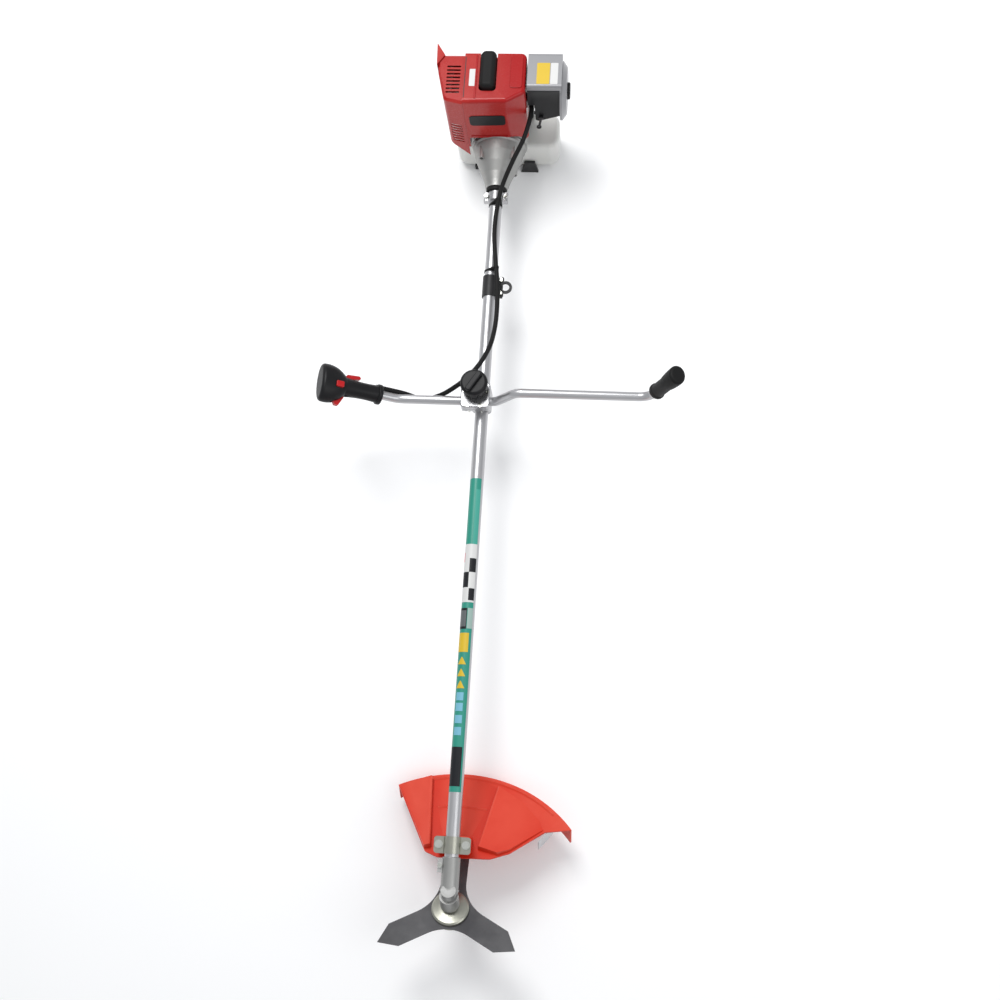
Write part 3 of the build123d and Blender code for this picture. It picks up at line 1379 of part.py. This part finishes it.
def run_middle(index):
    """Middle and direction of the straight run that ends at a route point."""
    start = Vector(*CABLE_ROUTE[index - 1])
    end = Vector(*CABLE_ROUTE[index])
    return (start + end) / 2, (end - start).normalized()


TUBE_CLIPS = (5, 8)      # route runs that are tied to the tube
CLIP_W = 4.0
with BuildPart() as cable_clips:
    for run in TUBE_CLIPS:
        middle, along = run_middle(run)
        with BuildSketch(station(middle.Y - CLIP_W / 2)):
            Circle(TUBE_R + 1.2)
            with Locations((middle.X, middle.Z)):
                Circle(CABLE_R + 1.2)
            make_hull()
            Circle(TUBE_R + 0.02, mode=Mode.SUBTRACT)
        extrude(amount=-CLIP_W)
    for run in TUBE_CLIPS:
        middle, along = run_middle(run)
        with BuildSketch(Plane(origin=middle - along * 12, z_dir=along)):
            Circle(CABLE_R + 0.1)
        extrude(amount=24, mode=Mode.SUBTRACT)
keep(cable_clips, "cable_clips")

# M5 socket screws of every clamp: place, seat height, depth below the seat.
CLAMP_SCREWS = [
    ((-20.9, -17), 7.5, 18),
    ((TUBE_R + 9, HANGER_Y - 16), 3.7, 11),
    ((TUBE_R + 9, HANGER_Y + 16), 3.7, 11),
    ((-COUPLER_SCREW_X, 1425.5), 7.5, 15),
    ((COUPLER_SCREW_X, 1425.5), 7.5, 15),
    *((spot, CAP_TOP - 6, 35) for spot in CLAMP_BOLTS),
]
with BuildPart() as clamp_screws:
    for spot, seat, depth in CLAMP_SCREWS:
        with BuildSketch(level(seat)):
            with Locations(spot):
                Circle(4.25)
        extrude(amount=5)
        with BuildSketch(level(seat - depth)):
            with Locations(spot):
                Circle(2.5)
        extrude(amount=depth)
        with BuildSketch(level(seat + 2.5)):
            with Locations(spot):
                RegularPolygon(2.3, 6)
        extrude(amount=5, mode=Mode.SUBTRACT)
keep(clamp_screws, "clamp_screws")

# ---------------------------------------------------------------- lay it down and write the pieces
turned = {name: piece.rotate(Axis.X, -REST_TILT) for name, piece in finished.items()}
boxes = [piece.bounding_box() for piece in turned.values()]
low = [min(corner) for corner in zip(*(tuple(box.min) for box in boxes))]
high = [max(corner) for corner in zip(*(tuple(box.max) for box in boxes))]
shift = Vector(-(low[0] + high[0]) / 2, -(low[1] + high[1]) / 2, -low[2])
for name, piece in turned.items():
    placed = piece.translate(shift)
    placed.label = name
    export_step(placed, f"parts/{name}.step")
print("pieces", len(turned), "rest tilt", round(REST_TILT, 5), "shift", [round(value, 4) for value in shift])
print("size", [round(b - a, 2) for a, b in zip(low, high)])
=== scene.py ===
import math

import bmesh
import bpy
from mathutils import Matrix, Vector


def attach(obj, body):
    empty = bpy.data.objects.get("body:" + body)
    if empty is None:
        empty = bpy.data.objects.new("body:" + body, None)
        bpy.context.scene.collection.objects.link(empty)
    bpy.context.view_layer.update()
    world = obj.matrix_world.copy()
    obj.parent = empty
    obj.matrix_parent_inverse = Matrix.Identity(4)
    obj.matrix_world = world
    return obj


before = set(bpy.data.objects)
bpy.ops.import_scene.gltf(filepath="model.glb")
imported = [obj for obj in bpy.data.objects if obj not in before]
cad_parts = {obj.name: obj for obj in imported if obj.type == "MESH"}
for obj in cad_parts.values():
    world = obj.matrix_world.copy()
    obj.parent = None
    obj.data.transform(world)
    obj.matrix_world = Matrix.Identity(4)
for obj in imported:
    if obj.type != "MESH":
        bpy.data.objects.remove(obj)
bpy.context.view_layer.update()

# ------------------------------------------------------------------ frames
# The tool frame has the tube along Y in millimetres. The row frame is that frame laid down.
TILT = math.radians(2.01429)
SHIFT = Vector((-40.3561, -765.9854, 188.2665))
LAY = Matrix.Rotation(-TILT, 3, "X")
HEAD = math.radians(30)
OUT_DIR = Vector((0, math.sin(HEAD), math.cos(HEAD)))
REARWARD = Vector((0, math.cos(HEAD), -math.sin(HEAD)))
BLADE_C = Vector((0, -73, 0)) - OUT_DIR * 50


def place(x, y, z):
    """Tool frame in mm to row frame in m."""
    return (LAY @ Vector((x, y, z)) + SHIFT) / 1000


def turn(x, y, z):
    """Direction in the tool frame to the row frame."""
    return LAY @ Vector((x, y, z))


def head_point(x, back, height):
    """Point over the blade: side, distance toward the tube, height above the blade."""
    return Vector((x, 0, 0)) + BLADE_C + REARWARD * back + OUT_DIR * height


# ------------------------------------------------------------------ camera
cam_data = bpy.data.cameras.new("camera")
cam_data.sensor_width = 36
cam_data.lens = 45.24
cam_data.clip_start = 0.05
cam_data.clip_end = 60
camera = bpy.data.objects.new("camera", cam_data)
bpy.context.scene.collection.objects.link(camera)
yaw, pitch, roll = (math.radians(a) for a in (-17.207, 73.174, -14.375))
forward = Vector((math.sin(yaw) * math.cos(pitch), math.cos(yaw) * math.cos(pitch), -math.sin(pitch)))
side = Vector((math.cos(yaw), -math.sin(yaw), 0))
above = side.cross(forward)
cam_x = math.cos(roll) * side + math.sin(roll) * above
cam_y = -math.sin(roll) * side + math.cos(roll) * above
basis = Matrix([turn(*cam_x), turn(*cam_y), turn(*(-forward))]).transposed()
camera.matrix_world = Matrix.Translation(place(275.5, -4.1, 2510.9)) @ basis.to_4x4()
bpy.context.scene.camera = camera


# ------------------------------------------------------------------ materials
def tool_coordinates(nt):
    """A socket with the tool frame's coordinates in metres."""
    geo = nt.nodes.new("ShaderNodeNewGeometry")
    shift = nt.nodes.new("ShaderNodeVectorMath")
    shift.operation = "SUBTRACT"
    shift.inputs[1].default_value = SHIFT / 1000
    back = nt.nodes.new("ShaderNodeVectorRotate")
    back.rotation_type = "X_AXIS"
    back.inputs["Angle"].default_value = TILT
    nt.links.new(geo.outputs["Position"], shift.inputs[0])
    nt.links.new(shift.outputs[0], back.inputs["Vector"])
    return back.outputs[0]


def surface(
    name, color, rough=0.5, metal=0.0, tint=0.1, grain=0.25, grain_scale=700.0,
    wear=0.0, wear_color=(0.5, 0.5, 0.5),
    stretch=(1, 1, 1), coat=0.0, blotch=14.0, spec=0.5,
):
    """Procedural material: colour that varies over the piece, fine grain, uneven gloss and worn edges."""
    m = bpy.data.materials.new(name)
    m.use_nodes = True
    nt = m.node_tree
    bsdf = nt.nodes["Principled BSDF"]
    bsdf.inputs["Metallic"].default_value = metal
    bsdf.inputs["Coat Weight"].default_value = coat
    bsdf.inputs["Specular IOR Level"].default_value = spec
    bsdf.inputs["Coat Roughness"].default_value = 0.15
    coords = nt.nodes.new("ShaderNodeTexCoord").outputs["Object"]

    broad = nt.nodes.new("ShaderNodeTexNoise")
    broad.inputs["Scale"].default_value = blotch
    broad.inputs["Detail"].default_value = 5
    nt.links.new(coords, broad.inputs["Vector"])
    mix = nt.nodes.new("ShaderNodeMix")
    mix.data_type = "RGBA"
    mix.inputs[6].default_value = (*(c * (1 - tint) for c in color), 1)
    mix.inputs[7].default_value = (*(min(1, c * (1 + tint) + 0.01 * tint) for c in color), 1)
    nt.links.new(broad.outputs["Fac"], mix.inputs[0])
    shade = mix.outputs[2]

    stretched = nt.nodes.new("ShaderNodeMapping")
    stretched.inputs["Scale"].default_value = stretch
    nt.links.new(coords, stretched.inputs["Vector"])
    fine = nt.nodes.new("ShaderNodeTexNoise")
    fine.inputs["Scale"].default_value = grain_scale
    fine.inputs["Detail"].default_value = 3
    nt.links.new(stretched.outputs[0], fine.inputs["Vector"])

    if wear:
        geo = nt.nodes.new("ShaderNodeNewGeometry")
        edge = nt.nodes.new("ShaderNodeMapRange")
        edge.inputs["From Min"].default_value = 0.52
        edge.inputs["From Max"].default_value = 0.62
        nt.links.new(geo.outputs["Pointiness"], edge.inputs["Value"])
        patchy = nt.nodes.new("ShaderNodeMath")
        patchy.operation = "MULTIPLY"
        nt.links.new(edge.outputs[0], patchy.inputs[0])
        nt.links.new(broad.outputs["Fac"], patchy.inputs[1])
        strength = nt.nodes.new("ShaderNodeMath")
        strength.operation = "MULTIPLY"
        strength.inputs[1].default_value = wear
        nt.links.new(patchy.outputs[0], strength.inputs[0])
        worn = nt.nodes.new("ShaderNodeMix")
        worn.data_type = "RGBA"
        worn.inputs[7].default_value = (*wear_color, 1)
        nt.links.new(strength.outputs[0], worn.inputs[0])
        nt.links.new(shade, worn.inputs[6])
        shade = worn.outputs[2]
    nt.links.new(shade, bsdf.inputs["Base Color"])

    gloss = nt.nodes.new("ShaderNodeMapRange")
    gloss.inputs["To Min"].default_value = max(0.03, rough - 0.1)
    gloss.inputs["To Max"].default_value = min(1.0, rough + 0.12)
    nt.links.new(fine.outputs["Fac"], gloss.inputs["Value"])
    nt.links.new(gloss.outputs[0], bsdf.inputs["Roughness"])
    bump = nt.nodes.new("ShaderNodeBump")
    bump.inputs["Strength"].default_value = grain
    bump.inputs["Distance"].default_value = 0.0003
    nt.links.new(fine.outputs["Fac"], bump.inputs["Height"])
    nt.links.new(bump.outputs[0], bsdf.inputs["Normal"])
    return m


M = {
    "tube": surface("tube_alloy", (0.46, 0.46, 0.47), 0.34, 0.8, 0.05, 0.12, 500, stretch=(1, 0.03, 1)),
    "bar": surface("bar_alloy", (0.48, 0.48, 0.49), 0.32, 0.8, 0.05, 0.12, 500, stretch=(0.05, 1, 1)),
    "cast": surface(
        "cast_alloy", (0.33, 0.33, 0.32), 0.46, 0.8, 0.2, 0.5, 420,
        wear=0.5, wear_color=(0.8, 0.8, 0.8),
    ),
    "machined": surface("machined_alloy", (0.42, 0.42, 0.43), 0.28, 0.9, 0.06, 0.15, 300),
    "zinc": surface("zinc_plate", (0.36, 0.36, 0.31), 0.33, 0.85, 0.12, 0.2, 250, blotch=60),
    "steel": surface("steel", (0.55, 0.55, 0.56), 0.3, 0.95, 0.08, 0.15, 300),
    "blade": surface(
        "blade_coat", (0.022, 0.021, 0.026), 0.5, 0.2, 0.15, 0.3, 500, spec=0.25,
        wear=0.5, wear_color=(0.3, 0.3, 0.3),
    ),
    "guard": surface(
        "guard_orange", (0.62, 0.032, 0.012), 0.36, 0.0, 0.07, 0.16, 900, spec=0.3,
        wear=0.25, wear_color=(1, 0.3, 0.2),
    ),
    "red": surface(
        "cover_red", (0.34, 0.004, 0.005), 0.24, 0.0, 0.1, 0.10, 700, spec=0.28,
        wear=0.2, wear_color=(0.8, 0.2, 0.15),
    ),
    "control": surface("control_red", (0.42, 0.008, 0.010), 0.34, 0.0, 0.08, 0.12, 700, spec=0.3),
    "black": surface(
        "black_plastic", (0.007, 0.007, 0.008), 0.4, 0.0, 0.25, 0.3, 900, spec=0.2,
        wear=0.3, wear_color=(0.12, 0.12, 0.12),
    ),
    "rubber": surface("rubber", (0.008, 0.008, 0.008), 0.55, 0.0, 0.2, 0.4, 900, spec=0.16),
    "grip": surface("grip_rubber", (0.022, 0.022, 0.022), 0.6, 0.0, 0.2, 0.5, 800, spec=0.2),
    "silver": surface("silver_paint", (0.27, 0.27, 0.28), 0.36, 0.35, 0.06, 0.12, 800, coat=0.2),
    "tank": surface("tank_milky", (0.80, 0.80, 0.77), 0.35, 0.0, 0.05, 0.15, 400),
    "teal": surface("sleeve_teal", (0.015, 0.25, 0.185), 0.38, 0.0, 0.05, 0.05, 600),
    "muffler": surface("muffler_steel", (0.10, 0.09, 0.08), 0.55, 0.8, 0.3, 0.3, 300, blotch=40),
    "ceramic": surface("ceramic", (0.8, 0.8, 0.78), 0.2, 0.0, 0.03, 0.05, 300),
    "white": surface("print_white", (0.62, 0.62, 0.61), 0.4, 0.0, 0.04, 0.05, 600, blotch=30),
    "dark": surface("print_dark", (0.012, 0.013, 0.016), 0.38, 0.0, 0.2, 0.05, 600, spec=0.2, blotch=30),
    "grey": surface("print_grey", (0.10, 0.11, 0.115), 0.4, 0.0, 0.06, 0.05, 600, blotch=30),
    "pale": surface("print_pale", (0.30, 0.42, 0.38), 0.4, 0.0, 0.06, 0.05, 600, blotch=30),
    "yellow": surface("print_yellow", (0.62, 0.42, 0.015), 0.4, 0.0, 0.05, 0.05, 600, blotch=30),
    "blue": surface("print_blue", (0.16, 0.42, 0.55), 0.4, 0.0, 0.05, 0.05, 600, blotch=30),
    "mint": surface("print_mint", (0.05, 0.33, 0.26), 0.38, 0.0, 0.05, 0.05, 600, blotch=30),
    "pink": surface("print_pink", (0.62, 0.10, 0.14), 0.38, 0.0, 0.05, 0.05, 600, blotch=30),
    "seam": surface("seam_dark", (0.05, 0.008, 0.008), 0.55, 0.0, 0.15, 0.1, 600, blotch=30),
    # Bright plated metal of the bolts and screws; on the gear case's boss top it also serves as painted
    # highlight.
    "bright": surface("bolt_bright", (0.70, 0.71, 0.66), 0.2, 0.95, 0.06, 0.08, 300, blotch=80),
}
TANK_BSDF = M["tank"].node_tree.nodes["Principled BSDF"]
TANK_BSDF.inputs["Transmission Weight"].default_value = 0.25
TANK_BSDF.inputs["Subsurface Weight"].default_value = 0.3
TANK_BSDF.inputs["Subsurface Radius"].default_value = (0.02, 0.02, 0.018)

FINISH = {
    "tube": "main_tube",
    "bar": "handlebar",
    "cast": "gear_case clutch_housing crankcase cylinder carburettor",
    "machined": "piston flywheel tube_coupler handlebar_bracket handlebar_cap",
    "zinc": "guard_bracket stabiliser_cup blade_holder",
    "bright": "guard_bolts clamp_screws",
    "steel": "output_shaft bevel_pinion bevel_gear gear_bearings blade_nut drive_shaft crankshaft"
             " connecting_rod"
             " clutch_shoes clutch_drum line_knife throttle_lever",
    "blade": "blade",
    "guard": "guard",
    "red": "engine_cover muffler_cover",
    "control": "throttle_trigger lock_lever stop_switch",
    "black": "clamp_knob throttle_grip air_filter_case cover_knob choke_lever fuel_cap tank_stand"
             " starter_housing"
             " starter_pulley starter_handle hanger_band hanger_eye shaft_bushes",
    "rubber": "rubber_ring plug_cap throttle_cable cable_clips right_grip_cap",
    "grip": "right_grip",
    "silver": "air_filter_cover",
    "tank": "fuel_tank",
    "teal": "tube_decal",
    "muffler": "muffler",
    "ceramic": "spark_plug",
}
for key, names in FINISH.items():
    for name in names.split():
        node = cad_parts[name]
        node.data.materials.clear()
        node.data.materials.append(M[key])

# ------------------------------------------------------------------ small shapes
SLEEVE_R = 14.25         # outside of the sleeve on the tube, mm
GUARD_TOP = 45           # top of the guard's floor over the blade, mm
COVER_TOP = 194.9        # just inside the engine cover's top, mm
LID_TOP = 192.6          # just inside the air cleaner's top, mm
SIDEWAYS = (1, 0, 0)
ALONG_TUBE = (0, 1, 0)
UPWARD = (0, 0, 1)


def shell_piece(name, low, high, mat, body):
    """Closed thin solid between two matching grids of points in the tool frame."""
    mesh = bpy.data.meshes.new(name)
    bm = bmesh.new()
    rows, cols = len(low), len(low[0])
    under = [[bm.verts.new(place(*p)) for p in row] for row in low]
    over = [[bm.verts.new(place(*p)) for p in row] for row in high]
    for i in range(rows - 1):
        for j in range(cols - 1):
            bm.faces.new((under[i][j], under[i][j + 1], under[i + 1][j + 1], under[i + 1][j]))
            bm.faces.new((over[i][j], over[i + 1][j], over[i + 1][j + 1], over[i][j + 1]))
    ring = [(0, j) for j in range(cols)] + [(i, cols - 1) for i in range(1, rows)]
    ring += [(rows - 1, j) for j in range(cols - 2, -1, -1)] + [(i, 0) for i in range(rows - 2, 0, -1)]
    for (i, j), (k, m) in zip(ring, ring[1:] + ring[:1]):
        bm.faces.new((under[i][j], over[i][j], over[k][m], under[k][m]))
    bmesh.ops.recalc_face_normals(bm, faces=bm.faces)
    bm.to_mesh(mesh)
    bm.free()
    obj = bpy.data.objects.new(name, mesh)
    bpy.context.scene.collection.objects.link(obj)
    mesh.materials.append(M[mat])
    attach(obj, body)
    return obj


def wrap(name, y_from, y_to, a_from, a_to, mat, lift=0.35, pointed=False):
    """Printed patch on the tube's sleeve. Angles are from straight up toward +x, in degrees.

    A pointed patch is a triangle with its tip toward the engine.
    """
    steps = max(3, int(abs(a_to - a_from) / 6))
    low, high = [], []
    for i in range(steps + 1):
        share = i / steps
        angle = math.radians(a_from + (a_to - a_from) * share)
        far = y_from + (y_to - y_from) * (1 - abs(2 * share - 1)) + 0.3 if pointed else y_to
        for grid, radius in ((low, SLEEVE_R + 0.01), (high, SLEEVE_R + lift)):
            grid.append([(radius * math.sin(angle), y, radius * math.cos(angle)) for y in (y_from, far)])
    return shell_piece(name, low, high, mat, body="base")


def plate(name, outline, origin, along, across, depth, mat, body, round_to=0.0):
    """Flat plate: outline in mm on the plane of two directions, with softened edges."""
    along, across = Vector(along).normalized(), Vector(across).normalized()
    out = along.cross(across).normalized()
    mesh = bpy.data.meshes.new(name)
    bm = bmesh.new()
    lower = [bm.verts.new(place(*(Vector(origin) + along * u + across * v))) for u, v in outline]
    face = bm.faces.new(lower)
    grown = bmesh.ops.extrude_face_region(bm, geom=[face])
    push = turn(*(out * depth)) / 1000
    top = [v for v in grown["geom"] if isinstance(v, bmesh.types.BMVert)]
    bmesh.ops.translate(bm, vec=push, verts=top)
    bmesh.ops.recalc_face_normals(bm, faces=bm.faces)
    bm.to_mesh(mesh)
    bm.free()
    obj = bpy.data.objects.new(name, mesh)
    bpy.context.scene.collection.objects.link(obj)
    mesh.materials.append(M[mat])
    if round_to:
        soft = obj.modifiers.new("soft", "BEVEL")
        soft.width = round_to / 1000
        soft.segments = 3
        soft.limit_method = "ANGLE"
    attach(obj, body)
    return obj


def rounded(width, height, radius, steps=5):
    """Outline of a rectangle with round corners about its middle."""
    points = []
    for cx, cy, start in ((1, 1, 0), (-1, 1, 90), (-1, -1, 180), (1, -1, 270)):
        for i in range(steps + 1):
            a = math.radians(start + 90 * i / steps)
            x = cx * (width / 2 - radius) + radius * math.cos(a)
            points.append((x, cy * (height / 2 - radius) + radius * math.sin(a)))
    return points


def disc(radius, steps=40):
    """Outline of a circle about its middle."""
    angles = [2 * math.pi * i / steps for i in range(steps)]
    return [(radius * math.cos(a), radius * math.sin(a)) for a in angles]


# ------------------------------------------------------------------ sleeve prints, all without words
wrap("print_mint", 621, 739, 6, 48, "mint")
wrap("print_white", 499, 621, -84, 48, "white")
wrap("print_dark_a", 562, 591, -9, 47, "dark", 0.5)
wrap("print_dark_b", 530, 562, -74, -9, "dark", 0.5)
wrap("print_dark_c", 503, 528, -2, 47, "dark", 0.5)
wrap("print_pink", 584, 603, -82, -60, "pink", 0.5)
wrap("print_frame", 444, 487, -82, -2, "dark")
wrap("print_grey", 449, 482, -76, -8, "grey", 0.5)
wrap("print_pale", 445, 487, 3, 48, "pale")
wrap("print_yellow", 397, 436, -75, 25, "yellow")
for number, y in enumerate((380, 356, 332)):
    wrap(f"print_sign_{number}", y - 8, y + 8, -54, 16, "yellow", 0.5, pointed=True)
for number, y in enumerate((308, 287, 263, 239.5)):
    wrap(f"print_icon_{number}", y - 8, y + 8, -48, 14, "blue", 0.5)
wrap("print_block", 133, 209, -71, 33, "dark")

# ------------------------------------------------------------------ engine covers
FRONT_U = Vector((94, 3, 0)).normalized()
plate("front_strip", rounded(78, 36, 8), (-17, 1544.4, 124), FRONT_U, UPWARD, 1.2, "black", "base", 0.4)
plate("front_lip", rounded(82, 3, 1.4), (-17, 1544.4, 64), FRONT_U, UPWARD, 1.4, "red", "base", 0.5)
plate("top_label", rounded(16, 42, 2), (-46, 1603, COVER_TOP), SIDEWAYS, ALONG_TUBE, 0.4, "white", "base")
plate("top_panel", rounded(26, 78, 6), (47, 1617, COVER_TOP), SIDEWAYS, ALONG_TUBE, 2.2, "red", "base", 0.9)
plate(
    "top_ledge", rounded(4, 108, 1.8), (-39.5, 1605, COVER_TOP), SIDEWAYS, ALONG_TUBE, 1.6,
    "red", "base", 0.6,
)
plate("side_seam", rounded(2, 100, 0.9), (-63.6, 1604, COVER_TOP), SIDEWAYS, ALONG_TUBE, 0.3, "seam", "base")
plate(
    "lid_label", rounded(28, 52, 2), (104, 1616, LID_TOP), SIDEWAYS, ALONG_TUBE, 0.4, "yellow",
    "filter_lid",
)
plate(
    "lid_label_white", rounded(16, 52, 2), (127.5, 1616, LID_TOP), SIDEWAYS, ALONG_TUBE, 0.4, "white",
    "filter_lid",
)

# ------------------------------------------------------------------ guard, bracket and gear case
def over_guard(name, outline, x, back, rise, depth, mat, soft=0.0):
    """Plate in the plane of the guard's floor, its depth running down toward the blade."""
    origin = head_point(x, back, GUARD_TOP + rise)
    return plate(name, outline, origin, SIDEWAYS, -REARWARD, depth, mat, "base", soft)


def bead(name, points, width, lift):
    """Low rib over the guard's floor through points given as side and distance back."""
    low, high = [], []
    for i, (x, back) in enumerate(points):
        ahead = Vector(points[min(i + 1, len(points) - 1)]) - Vector(points[max(i - 1, 0)])
        aside = Vector((-ahead.y, ahead.x)).normalized() * width / 2
        spots = [(x + aside.x * k, back + aside.y * k, 1 - 0.9 * abs(k)) for k in (-1, 0, 1)]
        low.append([head_point(a, b, GUARD_TOP - 0.1) for a, b, share in spots])
        high.append([head_point(a, b, GUARD_TOP + lift * share) for a, b, share in spots])
    return shell_piece(name, low, high, "guard", "base")


RIM_R = 271              # the bead just inside the guard's edge, mm
rim = [(RIM_R * math.sin(math.radians(a)), RIM_R * math.cos(math.radians(a))) for a in range(-22, 46, 2)]
bead("rim_bead", rim, 5, 2.6)
step = [(-46 + 10 * i, 198 + 4 * math.sin(math.pi * i / 10)) for i in range(11)]
bead("channel_step", step, 5, 2.0)
# Top of the gear case's boss: partly a real flat face, partly painted highlight, drawn in the bright bolt
# metal so it looks as lit as a top turned up to the light.
plate("boss_top_painted_highlight", disc(11.5), head_point(0, 0, 71.9), SIDEWAYS, -REARWARD, 0.5, "bright", "base", 0.2)
for number, x in enumerate((-31, 11)):
    plate(f"bar_screw_{number}", disc(4.2, 24), (x, 909.5, 24), SIDEWAYS, UPWARD, 0.8, "dark", "base", 0.3)
over_guard("channel_pad", rounded(26, 44, 5), 12, 152, -0.1, 2.2, "guard", 0.9)
over_guard("pad_screw", disc(4.2), 26, 122, -0.1, 2.6, "black", 0.6)

# ------------------------------------------------------------------ floor and light
floor_mat = surface("floor_pale", (0.96, 0.96, 0.96), 0.7, 0.0, 0.01, 0.05, 60, blotch=1.5)
floor_data = bpy.data.meshes.new("floor")
floor_data.from_pydata([(-9, -9, 0), (9, -9, 0), (9, 9, 0), (-9, 9, 0)], [], [(0, 1, 2, 3)])
floor = bpy.data.objects.new("floor", floor_data)
bpy.context.scene.collection.objects.link(floor)
floor_data.materials.append(floor_mat)

world = bpy.data.worlds.new("world")
bpy.context.scene.world = world
world.use_nodes = True
world.node_tree.nodes["Background"].inputs["Color"].default_value = (0.95, 0.97, 1, 1)
world.node_tree.nodes["Background"].inputs["Strength"].default_value = 0.6
bpy.context.scene.view_settings.view_transform = "Standard"


def lamp(name, where, towards, size, power):
    """Rectangular area light aimed at a point, in metres and watts."""
    data = bpy.data.lights.new(name, "AREA")
    data.shape = "RECTANGLE"
    data.size, data.size_y = size
    data.energy = power
    obj = bpy.data.objects.new(name, data)
    bpy.context.scene.collection.objects.link(obj)
    obj.location = where
    obj.rotation_mode = "QUATERNION"
    obj.rotation_quaternion = (Vector(towards) - Vector(where)).to_track_quat("-Z", "Y")


lamp("key", (-0.7, 1.5, 3.0), (0, 0.1, 0), (1.2, 1.6), 70)
lamp("fill", (1.9, -0.9, 2.8), (0, 0.0, 0), (1.5, 2.5), 24)
